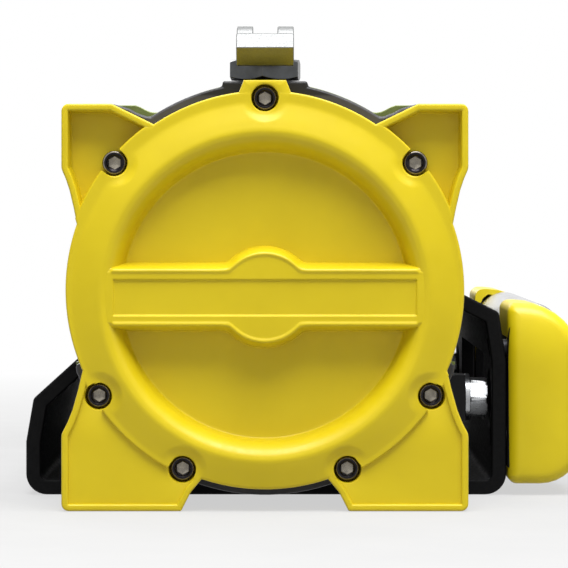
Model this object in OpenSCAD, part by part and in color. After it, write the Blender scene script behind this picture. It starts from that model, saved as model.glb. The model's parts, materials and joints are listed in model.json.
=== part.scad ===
// Electric recovery winch: motor, drum and three-stage planetary gearbox in one line, bolted into
// a bent-plate mounting channel that carries a four-way roller fairlead.
// The drum turns about an axis along Y. X points to the rope side, Z points up, and the origin
// lies on the underside of the channel, at the centre of its mounting holes.

/* [Layout] */
// Height of the drum axis above the underside of the channel
axis_z = 90.6; // [88:0.1:94]
// Clear length between the two drum supports
drum_bay = 224; // [216:1:236]
// Thickness of each drum support along the drum axis
support_t = 30; // [28:0.5:34]
// How far the ears stand out sideways past the cover's round part
ear_step = 1.7; // [1:0.1:3]
// How far the ears' tops lie below the top of the cover's round part
ear_drop = 5.4; // [3:0.1:8]

/* [Mounting channel] */
// Thickness of the bent plate
plate_t = 6.35; // [5:0.05:7]
// How far the channel runs past the foot bolts at each end
channel_past = 18; // [17:0.5:26]
// Half width over the outer faces of the side walls
channel_half = 104.2; // [103:0.1:108]
// Radius of the bend between floor and wall, on the outside
bend_r = 9; // [7.5:0.5:12]
// Height of the bend in the front wall
front_bend_z = 79; // [76:0.5:86]
// Height at which the front wall starts to lean inwards
front_lean_z = 58; // [56:0.5:64]
// How far the lip of the front wall reaches inwards
front_lip_x = 16; // [10:0.5:20]
// How far the lip of the front wall rises
front_lip_z = 8; // [5:0.5:10]
// Height of the bend in the rear wall
rear_bend_z = 41.6; // [38:0.2:46]
// Height at which the rear wall starts to lean inwards
rear_lean_z = 23; // [20:0.5:28]
// How far the lip of the rear wall reaches inwards
rear_lip_x = 20.5; // [12:0.5:22]
// How far the lip of the rear wall rises
rear_lip_z = 18.6; // [10:0.2:20]
// How far both walls lean inwards below the bend
wall_lean = 3.2; // [2:0.2:5]
// Radius of the four holes that bolt the channel to the vehicle
base_hole_r = 6.5; // [5:0.1:7]
// Distance between the vehicle holes across the drum axis
base_hole_x = 114.3; // [104:0.1:118]
// Distance between the vehicle holes along the drum axis
base_hole_y = 152.4; // [140:0.1:158]
// How much shorter the rope window is than the rollers, at each end
window_margin = 3; // [1:0.5:8]
// Lower edge of the rope window
window_low_z = 29; // [27:0.5:31]
// Upper edge of the rope window
window_high_z = 59; // [57.5:0.5:61]

/* [Gear end cover] */
// Radius of the round part of the cover
cover_r = 81.7; // [81:0.1:82.4]
// Depth of the cover behind its flange
cover_depth = 21.2; // [19:0.2:24]
// Radius of the flat floor of the round recess
recess_r = 58.6; // [56:0.2:60]
// Depth of the round recess below the crest of the rim
recess_depth = 8; // [6:0.2:9]
// How far the crest of the rim stands proud of the flange
crest_h = 4; // [3:0.2:5]
// Wall thickness behind the recess floor
cover_wall = 5; // [4:0.2:6]
// Width of the bar across the recess
bar_w = 21.7; // [18:0.1:24]
// Depth of the bare panel in the bar
panel_depth = 1.2; // [0.8:0.1:1.6]
// Radius of the low round hub behind the bar
hub_r = 19.9; // [17:0.1:22]
// Depth of the pockets in the ears and feet
pocket_depth = 11; // [8:0.5:12]
// Width of the rims around those pockets
rim_w = 2.8; // [2.2:0.1:3.2]
// Half width of the tab on top of the cover
tab_half = 8.7; // [8.2:0.1:9.6]
// How far the tab over the top screw rises past the cover's round part
tab_rise = 4.3; // [3.8:0.1:5.5]
// How far inside the cover's edge its screws stand
screw_set = 0.7; // [0.3:0.1:1]

/* [Gear case] */
// Length of the ring gear housing
housing_len = 35; // [33:0.5:38]
// How far the housing stands out past the cover's round part
housing_step = 4.3; // [3.5:0.1:5]
// Half width over the flat sides of the housing
housing_flat_x = 81.2; // [81:0.1:81.6]
// Thickness of the adapter plate
adapter_t = 4; // [3:0.2:5]
// How far the adapter plate stands out past the cover's round part
adapter_step = 5.7; // [5:0.1:6.5]
// Thickness of the cover gasket
gasket_t = 0.8; // [0.6:0.1:1.2]
// Length of the round part of the gear side support
support_round_len = 19; // [18:0.5:22]

/* [Planetary gears] */
// Rim of the ring gear behind its teeth
ring_rim = 7.7; // [7.5:0.1:9]
// Pressure angle of the gears, in degrees
pressure_angle = 20; // [20:1:22]
// Clearance left between meshing flanks
backlash = 0.36; // [0.3:0.02:0.5]
// Face width of the first and second stage gears
gear_w = 9.5; // [8.5:0.1:10]
// Face width of the third stage gears
last_gear_w = 14; // [12:0.2:15]
// Thickness of each planet carrier
carrier_t = 4.6; // [4:0.1:5]
// Gap along the axis between gears and carriers
gear_gap = 0.5; // [0.4:0.05:0.6]
// Wall of the gear case around the ring gear, measured from the cover's edge
case_wall = 8.7; // [8.5:0.1:9.5]
// Radial clearance of the ring gear in its housing
ring_gear_clear = 0.1; // [0.05:0.01:0.2]

/* [Drum] */
// Radius of the drum barrel
barrel_r = 31.75; // [30:0.25:34]
// Radius of the drum flanges
flange_r = 71; // [66:0.5:73]
// Thickness of the drum flanges
flange_t = 6; // [5:0.2:8]
// Radius of the drum journals
journal_r = 26; // [25:0.5:28]
// Running clearance of each journal in its bushing
journal_clear = 0.05; // [0.03:0.01:0.09]
// Wall thickness of the drum bushings
bushing_t = 4; // [3:0.2:5]
// Radius of the drive shaft
shaft_r = 5.5; // [5:0.1:6]

/* [Motor] */
// Outer radius of the motor housing
motor_r = 55; // [53:0.5:57]
// Wall thickness of the motor housing
motor_wall = 5; // [4:0.2:6]
// Length of the motor housing
motor_len = 152; // [150:1:164]
// Length of the motor end bell
bell_len = 24; // [22:0.5:30]
// Radius of the armature core
core_r = 36; // [33:0.5:37]
// Radius of the commutator
commutator_r = 21; // [18:0.5:22]
// Nominal radius of the terminal studs
stud_r = 4; // [3:0.5:5]

/* [Clutch] */
// How far the clutch boss rises past the tab's top
boss_rise = 0.4; // [0.2:0.1:1.5]
// Half width of the clutch boss
boss_half = 17.8; // [16:0.2:19]
// Width across the flats of the hexagonal clutch body
hex_af = 28.6; // [26:0.2:29]
// Height of the hexagonal clutch body
hex_h = 8.5; // [7:0.5:9]
// Height of the neck under the hexagon
neck_h = 0.9; // [0.6:0.1:1.2]
// Radius of the plunger
plunger_r = 4.5; // [4:0.1:5]
// How far the lever lifts the plunger
plunger_lift = 5; // [5:0.1:5.2]
// Height of the lever pin above the clutch body
pin_h = 6.7; // [6.5:0.1:8]
// Radius of the lever pin
lever_pin_r = 2.2; // [2:0.1:2.4]
// Distance of the clutch axis behind the cover
clutch_set = 16.6; // [16.4:0.1:18]
// Width of the lever
lever_w = 23.9; // [21:0.1:25]
// Width of the slot between the lever's cheeks
lever_slot = 10.2; // [9.8:0.1:11]

/* [Fairlead] */
// Radius of the rollers
roller_r = 13.5; // [12.5:0.1:13.8]
// Distance of the roller axes from the channel's front wall
roller_x = 15; // [14.6:0.1:17]
// Height of the axis of the top roller
top_roller_z = 68; // [66:0.5:70]
// Height of the axis of the bottom roller
bottom_roller_z = 19.7; // [19:0.1:21]
// How far each end cap passes the end of the channel
cap_past = 4; // [1:0.5:8]
// Length of the end caps along the rollers
cap_len = 58; // [57:1:62]
// How far the end caps stand off the channel's front wall
cap_reach = 32.8; // [31.5:0.2:36]
// Lower edge of the end caps
cap_low_z = 4.7; // [4:0.1:6]
// Upper edge of the end caps
cap_high_z = 83; // [82.6:0.2:86]
// Wall thickness of the end caps
cap_wall = 2.6; // [2:0.1:3]
// Radius of the roller pins
roller_pin_r = 5; // [4:0.1:5.5]

/* [Fasteners] */
// Nominal radius of the socket head screws
screw_r = 3; // [2.8:0.05:3.1]
// Nominal radius of the large bolts
bolt_r = 5; // [4.8:0.05:5.2]
// Distance between the foot bolts across the drum axis
foot_bolt_x = 114.3; // [110:0.1:118]
// Height of the side bolts
side_bolt_z = 41.3; // [38:0.1:44]

/* [Hidden] */
$fn = 72;

// Cuts run past the faces that they open by this much
over = 1;
// Gap between faces that meet but are separate pieces
seat_gap = 0.02;
// Gap that keeps neighbouring moving faces apart
air_gap = 0.3;
// Radial clearance of a running fit
run_clear = 0.05;

// Stations along the drum axis, the gear end is negative
bay_y = drum_bay / 2;
support_y = bay_y + support_t;
foot_bolt_y = drum_bay + support_t;
channel_len = foot_bolt_y + 2 * channel_past;
fairlead_bay = channel_len + 2 * cap_past - 2 * cap_len;
window_len = fairlead_bay - 2 * window_margin;
adapter_y = support_y + support_round_len;
housing_y = adapter_y + adapter_t;
gasket_y = housing_y + housing_len;
cover_back_y = gasket_y + gasket_t;
cover_front_y = cover_back_y + cover_depth;
crest_y = cover_front_y + crest_h;

// Radii and heights that follow the cover's round part
ear_x = cover_r + ear_step;
ear_top_z = axis_z + cover_r - ear_drop;
tab_top_z = axis_z + cover_r + tab_rise;
boss_top_z = tab_top_z + boss_rise;
housing_r = cover_r + housing_step;
adapter_r = cover_r + adapter_step;
screw_circle_r = cover_r - screw_set;
ring_gear_r = cover_r - case_wall;

// A flat shape drawn in X and Z, from station y0 to station y1 along Y
module slab(y0, y1) translate([0, y1, 0]) rotate([90, 0, 0]) linear_extrude(y1 - y0) children();
// The same, with the drum axis as its origin
module disc(y0, y1) translate([0, 0, axis_z]) slab(y0, y1) children();
// A round bar along Y
module rod(r, y0, y1) translate([0, y0, 0]) rotate([-90, 0, 0]) cylinder(r = r, h = y1 - y0);
// A round bar along X
module rod_x(r, x0, x1) translate([x0, 0, 0]) rotate([0, 90, 0]) cylinder(r = r, h = x1 - x0);
// The children and their mirror image on the other side
module both_x() { children(); mirror([1, 0, 0]) children(); }
module both_y() { children(); mirror([0, 1, 0]) children(); }
module four() both_x() both_y() children();
function polar(r, a) = [r * cos(a), r * sin(a)];
function arc(c, r, a0, a1, n) = [for (i = [0:n]) c + polar(r, a0 + (a1 - a0) * i / n)];

// Outline of the end castings. They share ears and feet, and each has a round part of its own.
corner_r = 3;
ear_top_w = 20.6;
foot_w = 49.1;
ear_in_x = ear_x - ear_top_w;
foot_in_x = ear_x - foot_w;
ear_h = 26.6;
foot_shoulder_z = 31.4;
ear_shoulder_z = ear_top_z - ear_h;
foot_step_in = 3.9;
foot_step = [foot_in_x - foot_step_in, 7.7];
side_v_angle = 19;
low_v_angle = -23.6;
top_v_angle = 56.3;
foot_v_angle = -71.6;
arc_steps = 6;
// How the sides curve from the shoulder, at 0, to the round part, at 1
neck_shares = [[0.28, 0.18], [0.52, 0.38], [0.79, 0.7]];
// The inner corners of an ear or foot lie at this share of the radius
root_share = 0.8;
// Where their outline meets the round part, the corner lies just inside it, at this share
meet_share = 0.996;
function on_axis(p) = [p[0], p[1] + axis_z];
function meet(r, a) = on_axis(polar(r * meet_share, a));
function neck(from, to) = [for (s = neck_shares)
    [from[0] + (to[0] - from[0]) * s[0], from[1] + (to[1] - from[1]) * s[1]]];
function ear_points(r, w, top, inner = [[0, 0]]) = let (
    side = meet(r, side_v_angle), upper = meet(r, top_v_angle),
    shoulder = [w, ear_shoulder_z], flip = neck(shoulder, side)) concat(
    [on_axis(polar(r * root_share, side_v_angle)), side], [for (i = [2:-1:0]) flip[i]], [shoulder],
    arc([w - corner_r, top - corner_r], corner_r, 0, 90, arc_steps),
    [for (p = inner) [ear_in_x - p[0], top - p[1]]],
    [upper, on_axis(polar(r * root_share, top_v_angle))]);
function foot_points(r, w, bottom) = let (
    side = meet(r, low_v_angle), shoulder = [w, foot_shoulder_z]) concat(
    [on_axis(polar(r * root_share, foot_v_angle)), meet(r, foot_v_angle),
        [foot_step[0], max(foot_step[1], bottom)], [foot_in_x, bottom]],
    arc([w - corner_r, bottom + corner_r], corner_r, -90, 0, arc_steps),
    [shoulder], neck(shoulder, side), [side, on_axis(polar(r * root_share, low_v_angle))]);
// A flat outline and its mirror image, both counter-clockwise
module pair(p) {
    polygon(p);
    polygon([for (i = [len(p) - 1:-1:0]) [-p[i][0], p[i][1]]]);
}
module casting(r, w, top, bottom) {
    translate([0, axis_z]) circle(r);
    pair(ear_points(r, w, top));
    pair(foot_points(r, w, bottom));
}

// Places of the seven cover screws around the axis, as angles
cover_screw_angles = [90, 40.1, 139.9, -32.5, -147.5, -65.3, -114.7];
top_screw_r = screw_circle_r - 2.2 * screw_r / 3;
function screw_place(a) = polar(a == 90 ? top_screw_r : screw_circle_r, a);
module at_cover_screws() for (a = cover_screw_angles) let (p = screw_place(a))
    translate([p[0], 0, axis_z + p[1]]) children();
screw_head_r = 5 * screw_r / 3;
screw_seat_y = cover_back_y + cover_depth - pocket_depth;
screw_bore_r = 1.1 * screw_r;
screw_counterbore_r = screw_head_r + 0.2 * screw_r;
screw_depth = 5.6 * screw_r;

// A hexagonal prism along Z, given by its width across the flats
module hexagon(af, h) cylinder(r = af / sqrt(3), h = h, $fn = 6);

// Screws are drawn along Z, with the seat of the head at zero and the head above
module socket_screw(r, length) {
    head_r = 5 * r / 3;
    head_h = 2 * r;
    edge = 0.2 * r;
    difference() {
        rotate_extrude() polygon([[0, -length], [r - edge, -length], [r, edge - length], [r, 0],
            [head_r, 0], [head_r, head_h - edge], [head_r - edge, head_h], [0, head_h]]);
        translate([0, 0, head_h / 2]) hexagon(5 * r / 3, head_h);
    }
}
module hex_bolt(r, length) {
    translate([0, 0, -length]) cylinder(r = r, h = length);
    hex_head(r, 1.6 * r);
}
// A hexagonal head or nut whose corners are turned down to a cone
module hex_head(r, h) {
    af = 3.2 * r;
    corner = af / sqrt(3);
    drop = 0.12 * h;
    intersection() {
        hexagon(af, h);
        rotate_extrude() polygon([[0, 0], [corner - drop, 0], [corner, drop], [corner, h - drop],
            [af / 2, h], [0, h]]);
    }
}

// Mounting channel. The plate's outer face is a path, and the plate lies inside it.
bend_steps = 8;
foot_hole_r = 1.1 * bolt_r;
sink_r = 2 * bolt_r;
access_hole_r = 2.5 * bolt_r;
rear_step = 0.4;
rear_half = channel_half - rear_step;
channel_path = concat(
    [[-rear_half + wall_lean + rear_lip_x, rear_bend_z + rear_lip_z],
        [-rear_half + wall_lean, rear_bend_z], [-rear_half, rear_lean_z]],
    arc([bend_r - rear_half, bend_r], bend_r, 180, 270, bend_steps),
    arc([channel_half - bend_r, bend_r], bend_r, 270, 360, bend_steps),
    [[channel_half, front_lean_z], [channel_half - wall_lean, front_bend_z],
        [channel_half - wall_lean - front_lip_x, front_bend_z + front_lip_z]]);
function unit(v) = v / norm(v);
function left_of(v) = [-v[1], v[0]];
// Each point of a path moved to its left, so that the strip between has an even thickness
function inner_point(p, i, t) = let (
    before = unit(p[max(i, 1)] - p[max(i, 1) - 1]),
    after = unit(p[min(i, len(p) - 2) + 1] - p[min(i, len(p) - 2)]),
    mid = unit(left_of(before) + left_of(after)))
    p[i] + mid * t / (mid * left_of(before));
function strip(p, t) = concat(p, [for (i = [len(p) - 1:-1:0]) inner_point(p, i, t)]);
module mounting_channel() color("#1c1c1c") difference() {
    slab(-channel_len / 2, channel_len / 2) polygon(strip(channel_path, plate_t));
    four() translate([base_hole_x / 2, base_hole_y / 2, -over])
        cylinder(r = base_hole_r, h = plate_t + 2 * over);
    four() translate([foot_bolt_x / 2, foot_bolt_y / 2, 0]) {
        translate([0, 0, -over]) cylinder(r = foot_hole_r, h = plate_t + 2 * over);
        translate([0, 0, -seat_gap]) cylinder(r1 = sink_r, r2 = foot_hole_r, h = sink_r - foot_hole_r);
    }
    both_y() translate([0, foot_bolt_y / 2, side_bolt_z])
        rod_x(access_hole_r, channel_half - 2 * plate_t, channel_half + over);
    both_y() for (z = fairlead_screw_z) translate([0, fairlead_screw_y, z])
        rod_x(screw_r * 4 / 3 + seat_gap, channel_half - 2 * plate_t, channel_half + over);
    translate([channel_half - 2 * plate_t, -window_len / 2, window_low_z])
        cube([3 * plate_t, window_len, window_high_z - window_low_z]);
}

// Foot screws are countersunk into the underside of the channel, with nuts in slots in the feet
foot_nut_z = 2.2 * plate_t;
nut_h = 1.6 * bolt_r;
module foot_screws() color("#3a3a3c") four() translate([foot_bolt_x / 2, foot_bolt_y / 2, 0])
    difference() {
        union() {
            cylinder(r = bolt_r, h = foot_nut_z + nut_h + bolt_r / 2);
            cylinder(r1 = sink_r - air_gap, r2 = bolt_r, h = sink_r - air_gap - bolt_r);
        }
        translate([0, 0, -over]) hexagon(1.2 * bolt_r, over + bolt_r / 2);
    }
module foot_nuts() color("#b8b8bc") four() translate([foot_bolt_x / 2, foot_bolt_y / 2, foot_nut_z])
    difference() {
        hex_head(bolt_r, nut_h);
        translate([0, 0, -over]) cylinder(r = bolt_r + seat_gap, h = nut_h + 2 * over);
    }

// Side bolts hold the supports from the front, with a washer under each head
lug_gap = 17.3;
side_lug_x = channel_half - lug_gap;
washer_r = 2.05 * bolt_r;
washer_t = 0.45 * bolt_r;
module at_side_bolts() both_y() translate([side_lug_x, foot_bolt_y / 2, side_bolt_z])
    rotate([0, 90, 0]) children();
module side_bolts() color("#c9c9cd") at_side_bolts()
    translate([0, 0, washer_t + seat_gap]) hex_bolt(bolt_r, 5 * bolt_r);
module side_washers() color("#c9c9cd") at_side_bolts() translate([0, 0, seat_gap / 2]) difference() {
    cylinder(r = washer_r, h = washer_t);
    translate([0, 0, -over]) cylinder(r = 1.05 * bolt_r, h = washer_t + 2 * over);
}

// Gear end cover
crest_r = 62.5;
dome_edge_r = 76.5;
floor_h = cover_depth + crest_h - recess_depth;
cavity_r = ring_gear_r - 2;
cavity_h = floor_h - cover_wall;
bar_z = 87.55;
bar_slope = 1.6;
panel_rim = 3;
panel_half = 62;
hub_h = floor_h + recess_depth / 2;
boss_r = 12;
scallop_r = 12;
// Height of the dome above the flange at radii from its crest outwards, as shares
dome_shares = [[0, 0.94], [0.25, 1], [0.5, 0.93], [0.75, 0.62], [0.9, 0.3]];
module cover_turned() rotate_extrude($fn = 144) polygon(concat(
    [[0, 0], [0, floor_h], [recess_r, floor_h]],
    [for (s = [0.15, 0.4, 0.7]) [recess_r + (crest_r - recess_r) * s,
        floor_h + (recess_depth - crest_h * 0.06) * pow(s, 0.8)]],
    [for (s = dome_shares) [crest_r + (dome_edge_r - crest_r) * s[0], cover_depth + crest_h * s[1]]],
    [[dome_edge_r, cover_depth], [cover_r, cover_depth], [cover_r, 0]]));
module pocket_ear(r) difference() {
    polygon(concat(
        [on_axis(polar(r * root_share, side_v_angle)), [ear_x * root_share, ear_shoulder_z - 5 * rim_w],
            [ear_x - 2.9 * rim_w, ear_shoulder_z - 5 * rim_w], [ear_x - rim_w, ear_shoulder_z],
            [ear_x - rim_w, ear_top_z - rim_w], [ear_in_x + rim_w / 2, ear_top_z - rim_w]],
        [on_axis(polar(cover_r + rim_w / 2, top_v_angle)) - [-rim_w, rim_w],
            on_axis(polar(r * root_share, top_v_angle))]));
    translate([0, axis_z]) circle(cover_r + rim_w / 2);
}
module pocket_foot(r) difference() {
    polygon([[ear_x * root_share, axis_z + cover_r * sin(low_v_angle)],
        [foot_in_x + rim_w, rim_w + rim_w / 4],
        [ear_x - rim_w, rim_w], [ear_x - rim_w, foot_shoulder_z],
        [ear_x - 2.4 * rim_w, foot_shoulder_z + 4 * rim_w]]);
    translate([0, axis_z]) circle(cover_r + rim_w / 2);
}
module tab() polygon([[-2.1 * tab_half, axis_z + cover_r - rim_w],
    [-1.25 * tab_half, tab_top_z - 2 * rim_w], [-tab_half, tab_top_z], [tab_half, tab_top_z],
    [1.25 * tab_half, tab_top_z - 2 * rim_w], [2.1 * tab_half, axis_z + cover_r - rim_w]]);
// The cover is drawn with its back at zero and its face towards +Z, then turned to the gear end
module to_gear_end(y) translate([0, -y, 0]) rotate([90, 0, 0]) children();
module cover_bar() intersection() {
    translate([0, bar_z, 0]) rotate([90, 0, 90]) translate([0, 0, -crest_r])
        linear_extrude(2 * crest_r) polygon([[-bar_w / 2 - bar_slope, 0], [bar_w / 2 + bar_slope, 0],
            [bar_w / 2 + bar_slope, floor_h], [bar_w / 2, cover_depth + crest_h],
            [-bar_w / 2, cover_depth + crest_h], [-bar_w / 2 - bar_slope, floor_h]]);
    translate([0, axis_z, 0]) cylinder(r = crest_r, h = crest_y);
}
module gear_end_cover() color("#e8d11c") to_gear_end(cover_back_y) difference() {
    union() {
        translate([0, axis_z, 0]) cover_turned();
        linear_extrude(cover_depth) {
            both_x() polygon(ear_points(cover_r, ear_x, ear_top_z));
            both_x() polygon(foot_points(cover_r, ear_x, 0));
            tab();
        }
        cover_bar();
        translate([0, bar_z, 0]) cylinder(r1 = hub_r + (hub_h - cover_wall) / 4, r2 = hub_r, h = hub_h);
    }
    translate([0, axis_z, -over]) difference() {
        cylinder(r = cavity_r, h = cavity_h + over);
        cylinder(r = boss_r, h = crest_y);
    }
    translate([0, axis_z, -over]) cylinder(r = shaft_r + run_clear, h = cavity_h + over);
    translate([-panel_half, bar_z + panel_rim - bar_w / 2, cover_depth + crest_h - panel_depth])
        cube([2 * panel_half, bar_w - 2 * panel_rim, crest_h]);
    translate([0, 0, cover_depth - pocket_depth]) linear_extrude(2 * pocket_depth) both_x() {
        pocket_ear(cover_r);
        pocket_foot(cover_r);
    }
    for (a = cover_screw_angles) let (p = screw_place(a)) translate([p[0], axis_z + p[1], 0]) {
        translate([0, 0, -over]) cylinder(r = screw_bore_r, h = cover_depth + crest_y);
        translate([0, 0, cover_depth - pocket_depth]) cylinder(r = screw_counterbore_r, h = crest_y);
        translate([0, 0, cover_depth]) cylinder(r = scallop_r, h = crest_y);
    }
}
module cover_screws() color("#77787b") translate([0, -screw_seat_y - seat_gap, 0])
    at_cover_screws() rotate([90, 0, 0]) socket_screw(screw_r, screw_depth);
module cover_gasket() color("#2b2b2b") difference() {
    slab(-cover_back_y + seat_gap, -gasket_y - seat_gap)
        casting(cover_r - rim_w / 2, ear_x - rim_w / 2, ear_top_z - rim_w / 2, rim_w / 2);
    translate([0, 0, axis_z]) rod(cavity_r, -cover_back_y - over, -gasket_y + over);
    at_cover_screws() rod(screw_bore_r, -cover_back_y - over, -gasket_y + over);
}

// Ring gear housing, with the clutch boss on top
case_bore_r = ring_gear_r + ring_gear_clear;
clutch_y = clutch_set - gasket_y;
thread_r = 0.7 * hex_af / 2;
boss_low_z = axis_z + case_bore_r;
// How far the ears behind the cover lie inside their round part, and the feet inside the cover's
ear_rise = 1.8;
foot_inset = 1;
// How an ear's inner end curves down, as steps in and down from the corner of its flat top
housing_curve = [[0, 0], [3, 0.8], [6.4, 1.9], [9.4, 3.6], [13.4, 5], [16.3, 5.3]];
plate_curve = [[7.3, 0], [9.5, 0.8], [11.7, 2], [13.6, 2.8], [15.4, 3.1], [17.4, 2.9]];
module housing_outline(r, rise) {
    intersection() {
        translate([0, axis_z]) circle(r);
        translate([-housing_flat_x, 0]) square([2 * housing_flat_x, axis_z + r]);
    }
    pair(ear_points(r - rise, housing_flat_x, ear_top_z + rise / 4, housing_curve));
    pair(foot_points(cover_r - foot_inset, housing_flat_x, 0));
}
module ring_gear_housing() color("#3c3d41") difference() {
    union() {
        slab(-gasket_y, -housing_y) housing_outline(housing_r, ear_rise);
        translate([-boss_half, -gasket_y, axis_z]) cube([2 * boss_half, housing_len, boss_top_z - axis_z]);
    }
    translate([0, 0, axis_z]) rod(case_bore_r, -gasket_y - over, -housing_y + over);
    at_cover_screws() rod(screw_r + seat_gap, -gasket_y - over, screw_depth - screw_seat_y + seat_gap);
    translate([0, clutch_y, boss_low_z - 2 * over]) cylinder(r = thread_r + seat_gap, h = boss_top_z);
}

// Adapter plate between the housing and the gear side support. Its ears stand a little higher.
plate_step = 1.1;
module adapter_plate() color("#5f6e1e") difference() {
    slab(-housing_y + seat_gap, -adapter_y - seat_gap) {
        intersection() {
            translate([0, axis_z]) circle(adapter_r);
            translate([-housing_flat_x, foot_step[1]]) square([2 * housing_flat_x, axis_z + adapter_r]);
        }
        pair(ear_points(adapter_r - plate_step / 2, housing_flat_x, ear_top_z + plate_step, plate_curve));
        pair(foot_points(cover_r - foot_inset, housing_flat_x, rim_w));
    }
    translate([0, 0, axis_z]) rod(case_bore_r, -housing_y - over, -adapter_y + over);
}

// Drum supports
support_step = 2.7;
support_r = cover_r - support_step;
floor_z = plate_t + seat_gap;
bush_r = journal_r + journal_clear + bushing_t;
tie_in = 12.4;
tie_down = 13.9;
tie_x = ear_x - tie_in;
tie_z = ear_top_z - tie_down;
tie_r = 4;
nut_slot_h = nut_h + 0.1 * bolt_r;
module support_feet(y_out) {
    both_x() translate([foot_bolt_x / 2, y_out, floor_z - over])
        cylinder(r = foot_hole_r, h = foot_nut_z + 2 * nut_h);
    both_x() translate([foot_bolt_x / 2 - 1.9 * bolt_r, y_out - 1.65 * bolt_r,
        foot_nut_z - (nut_slot_h - nut_h) / 2])
        cube([ear_x - foot_bolt_x / 2 + 2 * bolt_r, 3.3 * bolt_r, nut_slot_h]);
}
module support_body(y_end) {
    slab(bay_y, y_end) casting(support_r, housing_flat_x, ear_top_z - rim_w, floor_z);
    slab(bay_y, support_y) translate([-housing_flat_x, floor_z])
        square([2 * housing_flat_x, foot_shoulder_z - floor_z]);
    translate([cover_r - 4 * bolt_r, foot_bolt_y / 2 - 2 * bolt_r, side_bolt_z - 2 * bolt_r])
        cube([side_lug_x - cover_r + 4 * bolt_r, 4 * bolt_r, 4 * bolt_r]);
}
module support_cuts(y_end) {
    support_feet(foot_bolt_y / 2);
    translate([0, 0, axis_z]) rod(bush_r + seat_gap, bay_y - over, bay_y + bushing_len + seat_gap);
    translate([0, foot_bolt_y / 2, side_bolt_z])
        rod_x(bolt_r + seat_gap, side_lug_x - 6 * bolt_r, side_lug_x + over);
    both_x() translate([tie_x, 0, tie_z]) {
        rod(tie_r + seat_gap, bay_y - over, support_y + over);
        rod(2 * tie_r, support_y - 2 * tie_r, y_end + over);
    }
}
module gear_side_support() color("#1e1e20") mirror([0, 1, 0]) difference() {
    support_body(adapter_y);
    support_cuts(adapter_y);
    translate([0, 0, axis_z]) rod(case_bore_r, support_y, adapter_y + over);
    translate([0, 0, axis_z]) rod(journal_r + flange_gap, bay_y, support_y + over);
    both_x() translate([foot_bolt_x / 2, 0, 0]) translate([-2 * bolt_r, support_y, -over])
        cube([4 * bolt_r, support_round_len + over, plate_t + 4 * bolt_r]);
}
motor_seat_depth = 6;
bearing_r = 17.5;
bearing_w = 11;
module motor_side_support() color("#1e1e20") difference() {
    union() {
        support_body(support_y);
        disc(support_y - over, support_y + motor_seat_depth) circle(motor_r - motor_wall - seat_gap);
    }
    support_cuts(support_y);
    translate([0, 0, axis_z]) rod(bearing_r + seat_gap, bay_y, support_y + motor_seat_depth + over);
    both_x() translate([motor_bolt_x, 0, axis_z])
        rod(motor_bolt_r + seat_gap, motor_y - motor_bolt_bite - seat_gap,
            support_y + motor_seat_depth + over);
}
motor_bolt_bite = 10;
// Tie bolts hold the supports apart, with their heads sunk into the motor side support
module tie_bolts() color("#8b8c90") both_x() translate([tie_x, support_y - 2 * tie_r + seat_gap, tie_z])
    rotate([-90, 0, 0]) {
        socket_screw(tie_r, 2 * support_y - 4 * tie_r);
        translate([0, 0, -support_t + 2 * tie_r - seat_gap - drum_bay + seat_gap])
            difference() {
                cylinder(r = 1.6 * tie_r, h = drum_bay - 2 * seat_gap);
                translate([0, 0, -over]) cylinder(r = tie_r + seat_gap, h = drum_bay + 2 * over);
            }
    }
flange_gap = 1;
module drum_bushings() color("#b08d4c") both_y() translate([0, 0, axis_z]) difference() {
    union() {
        rod(bush_r, bay_y - flange_gap + air_gap, bay_y + bushing_len);
        rod(bush_r + 2 * bushing_t, bay_y - flange_gap + air_gap, bay_y - seat_gap);
    }
    rod(journal_r + journal_clear, bay_y - 2 * over, support_y + over);
}
bushing_len = 22;

// Involute gears. The angle by which a flank has turned at radius r, for a base circle rb
function flank_turn(rb, r) = r <= rb ? 0
    : let (t = sqrt(pow(r / rb, 2) - 1)) t * 180 / PI - atan(t);
sun_teeth = 12;
planet_teeth = 18;
ring_teeth = sun_teeth + 2 * planet_teeth;
addendum_share = 0.8;
dedendum_share = 1.12;
gear_module = (ring_gear_r - ring_rim) / (ring_teeth / 2 + dedendum_share);
addendum = addendum_share * gear_module;
dedendum = dedendum_share * gear_module;
flank_shares = [0, 0.22, 0.42, 0.6, 0.8, 1];
// Half the angle of a tooth at radius r. A positive thinning makes the tooth slimmer.
function half_tooth(teeth, r, thin) = let (rp = teeth * gear_module / 2, rb = rp * cos(pressure_angle))
    90 / teeth + flank_turn(rb, rp) - flank_turn(rb, r) - thin / 2 / rp * 180 / PI;
function gear_points(teeth, low, high, thin) = [for (k = [0:teeth - 1], s = [-1, 1], i = [0:5])
    let (share = s < 0 ? flank_shares[i] : flank_shares[5 - i], r = low + (high - low) * share)
    polar(r, k * 360 / teeth + s * half_tooth(teeth, r, thin))];
function pitch_r(teeth) = teeth * gear_module / 2;
centre_r = pitch_r(sun_teeth) + pitch_r(planet_teeth);
module outer_gear(teeth) polygon(gear_points(teeth, pitch_r(teeth) - dedendum, pitch_r(teeth) + addendum,
    backlash / 2));

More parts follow.
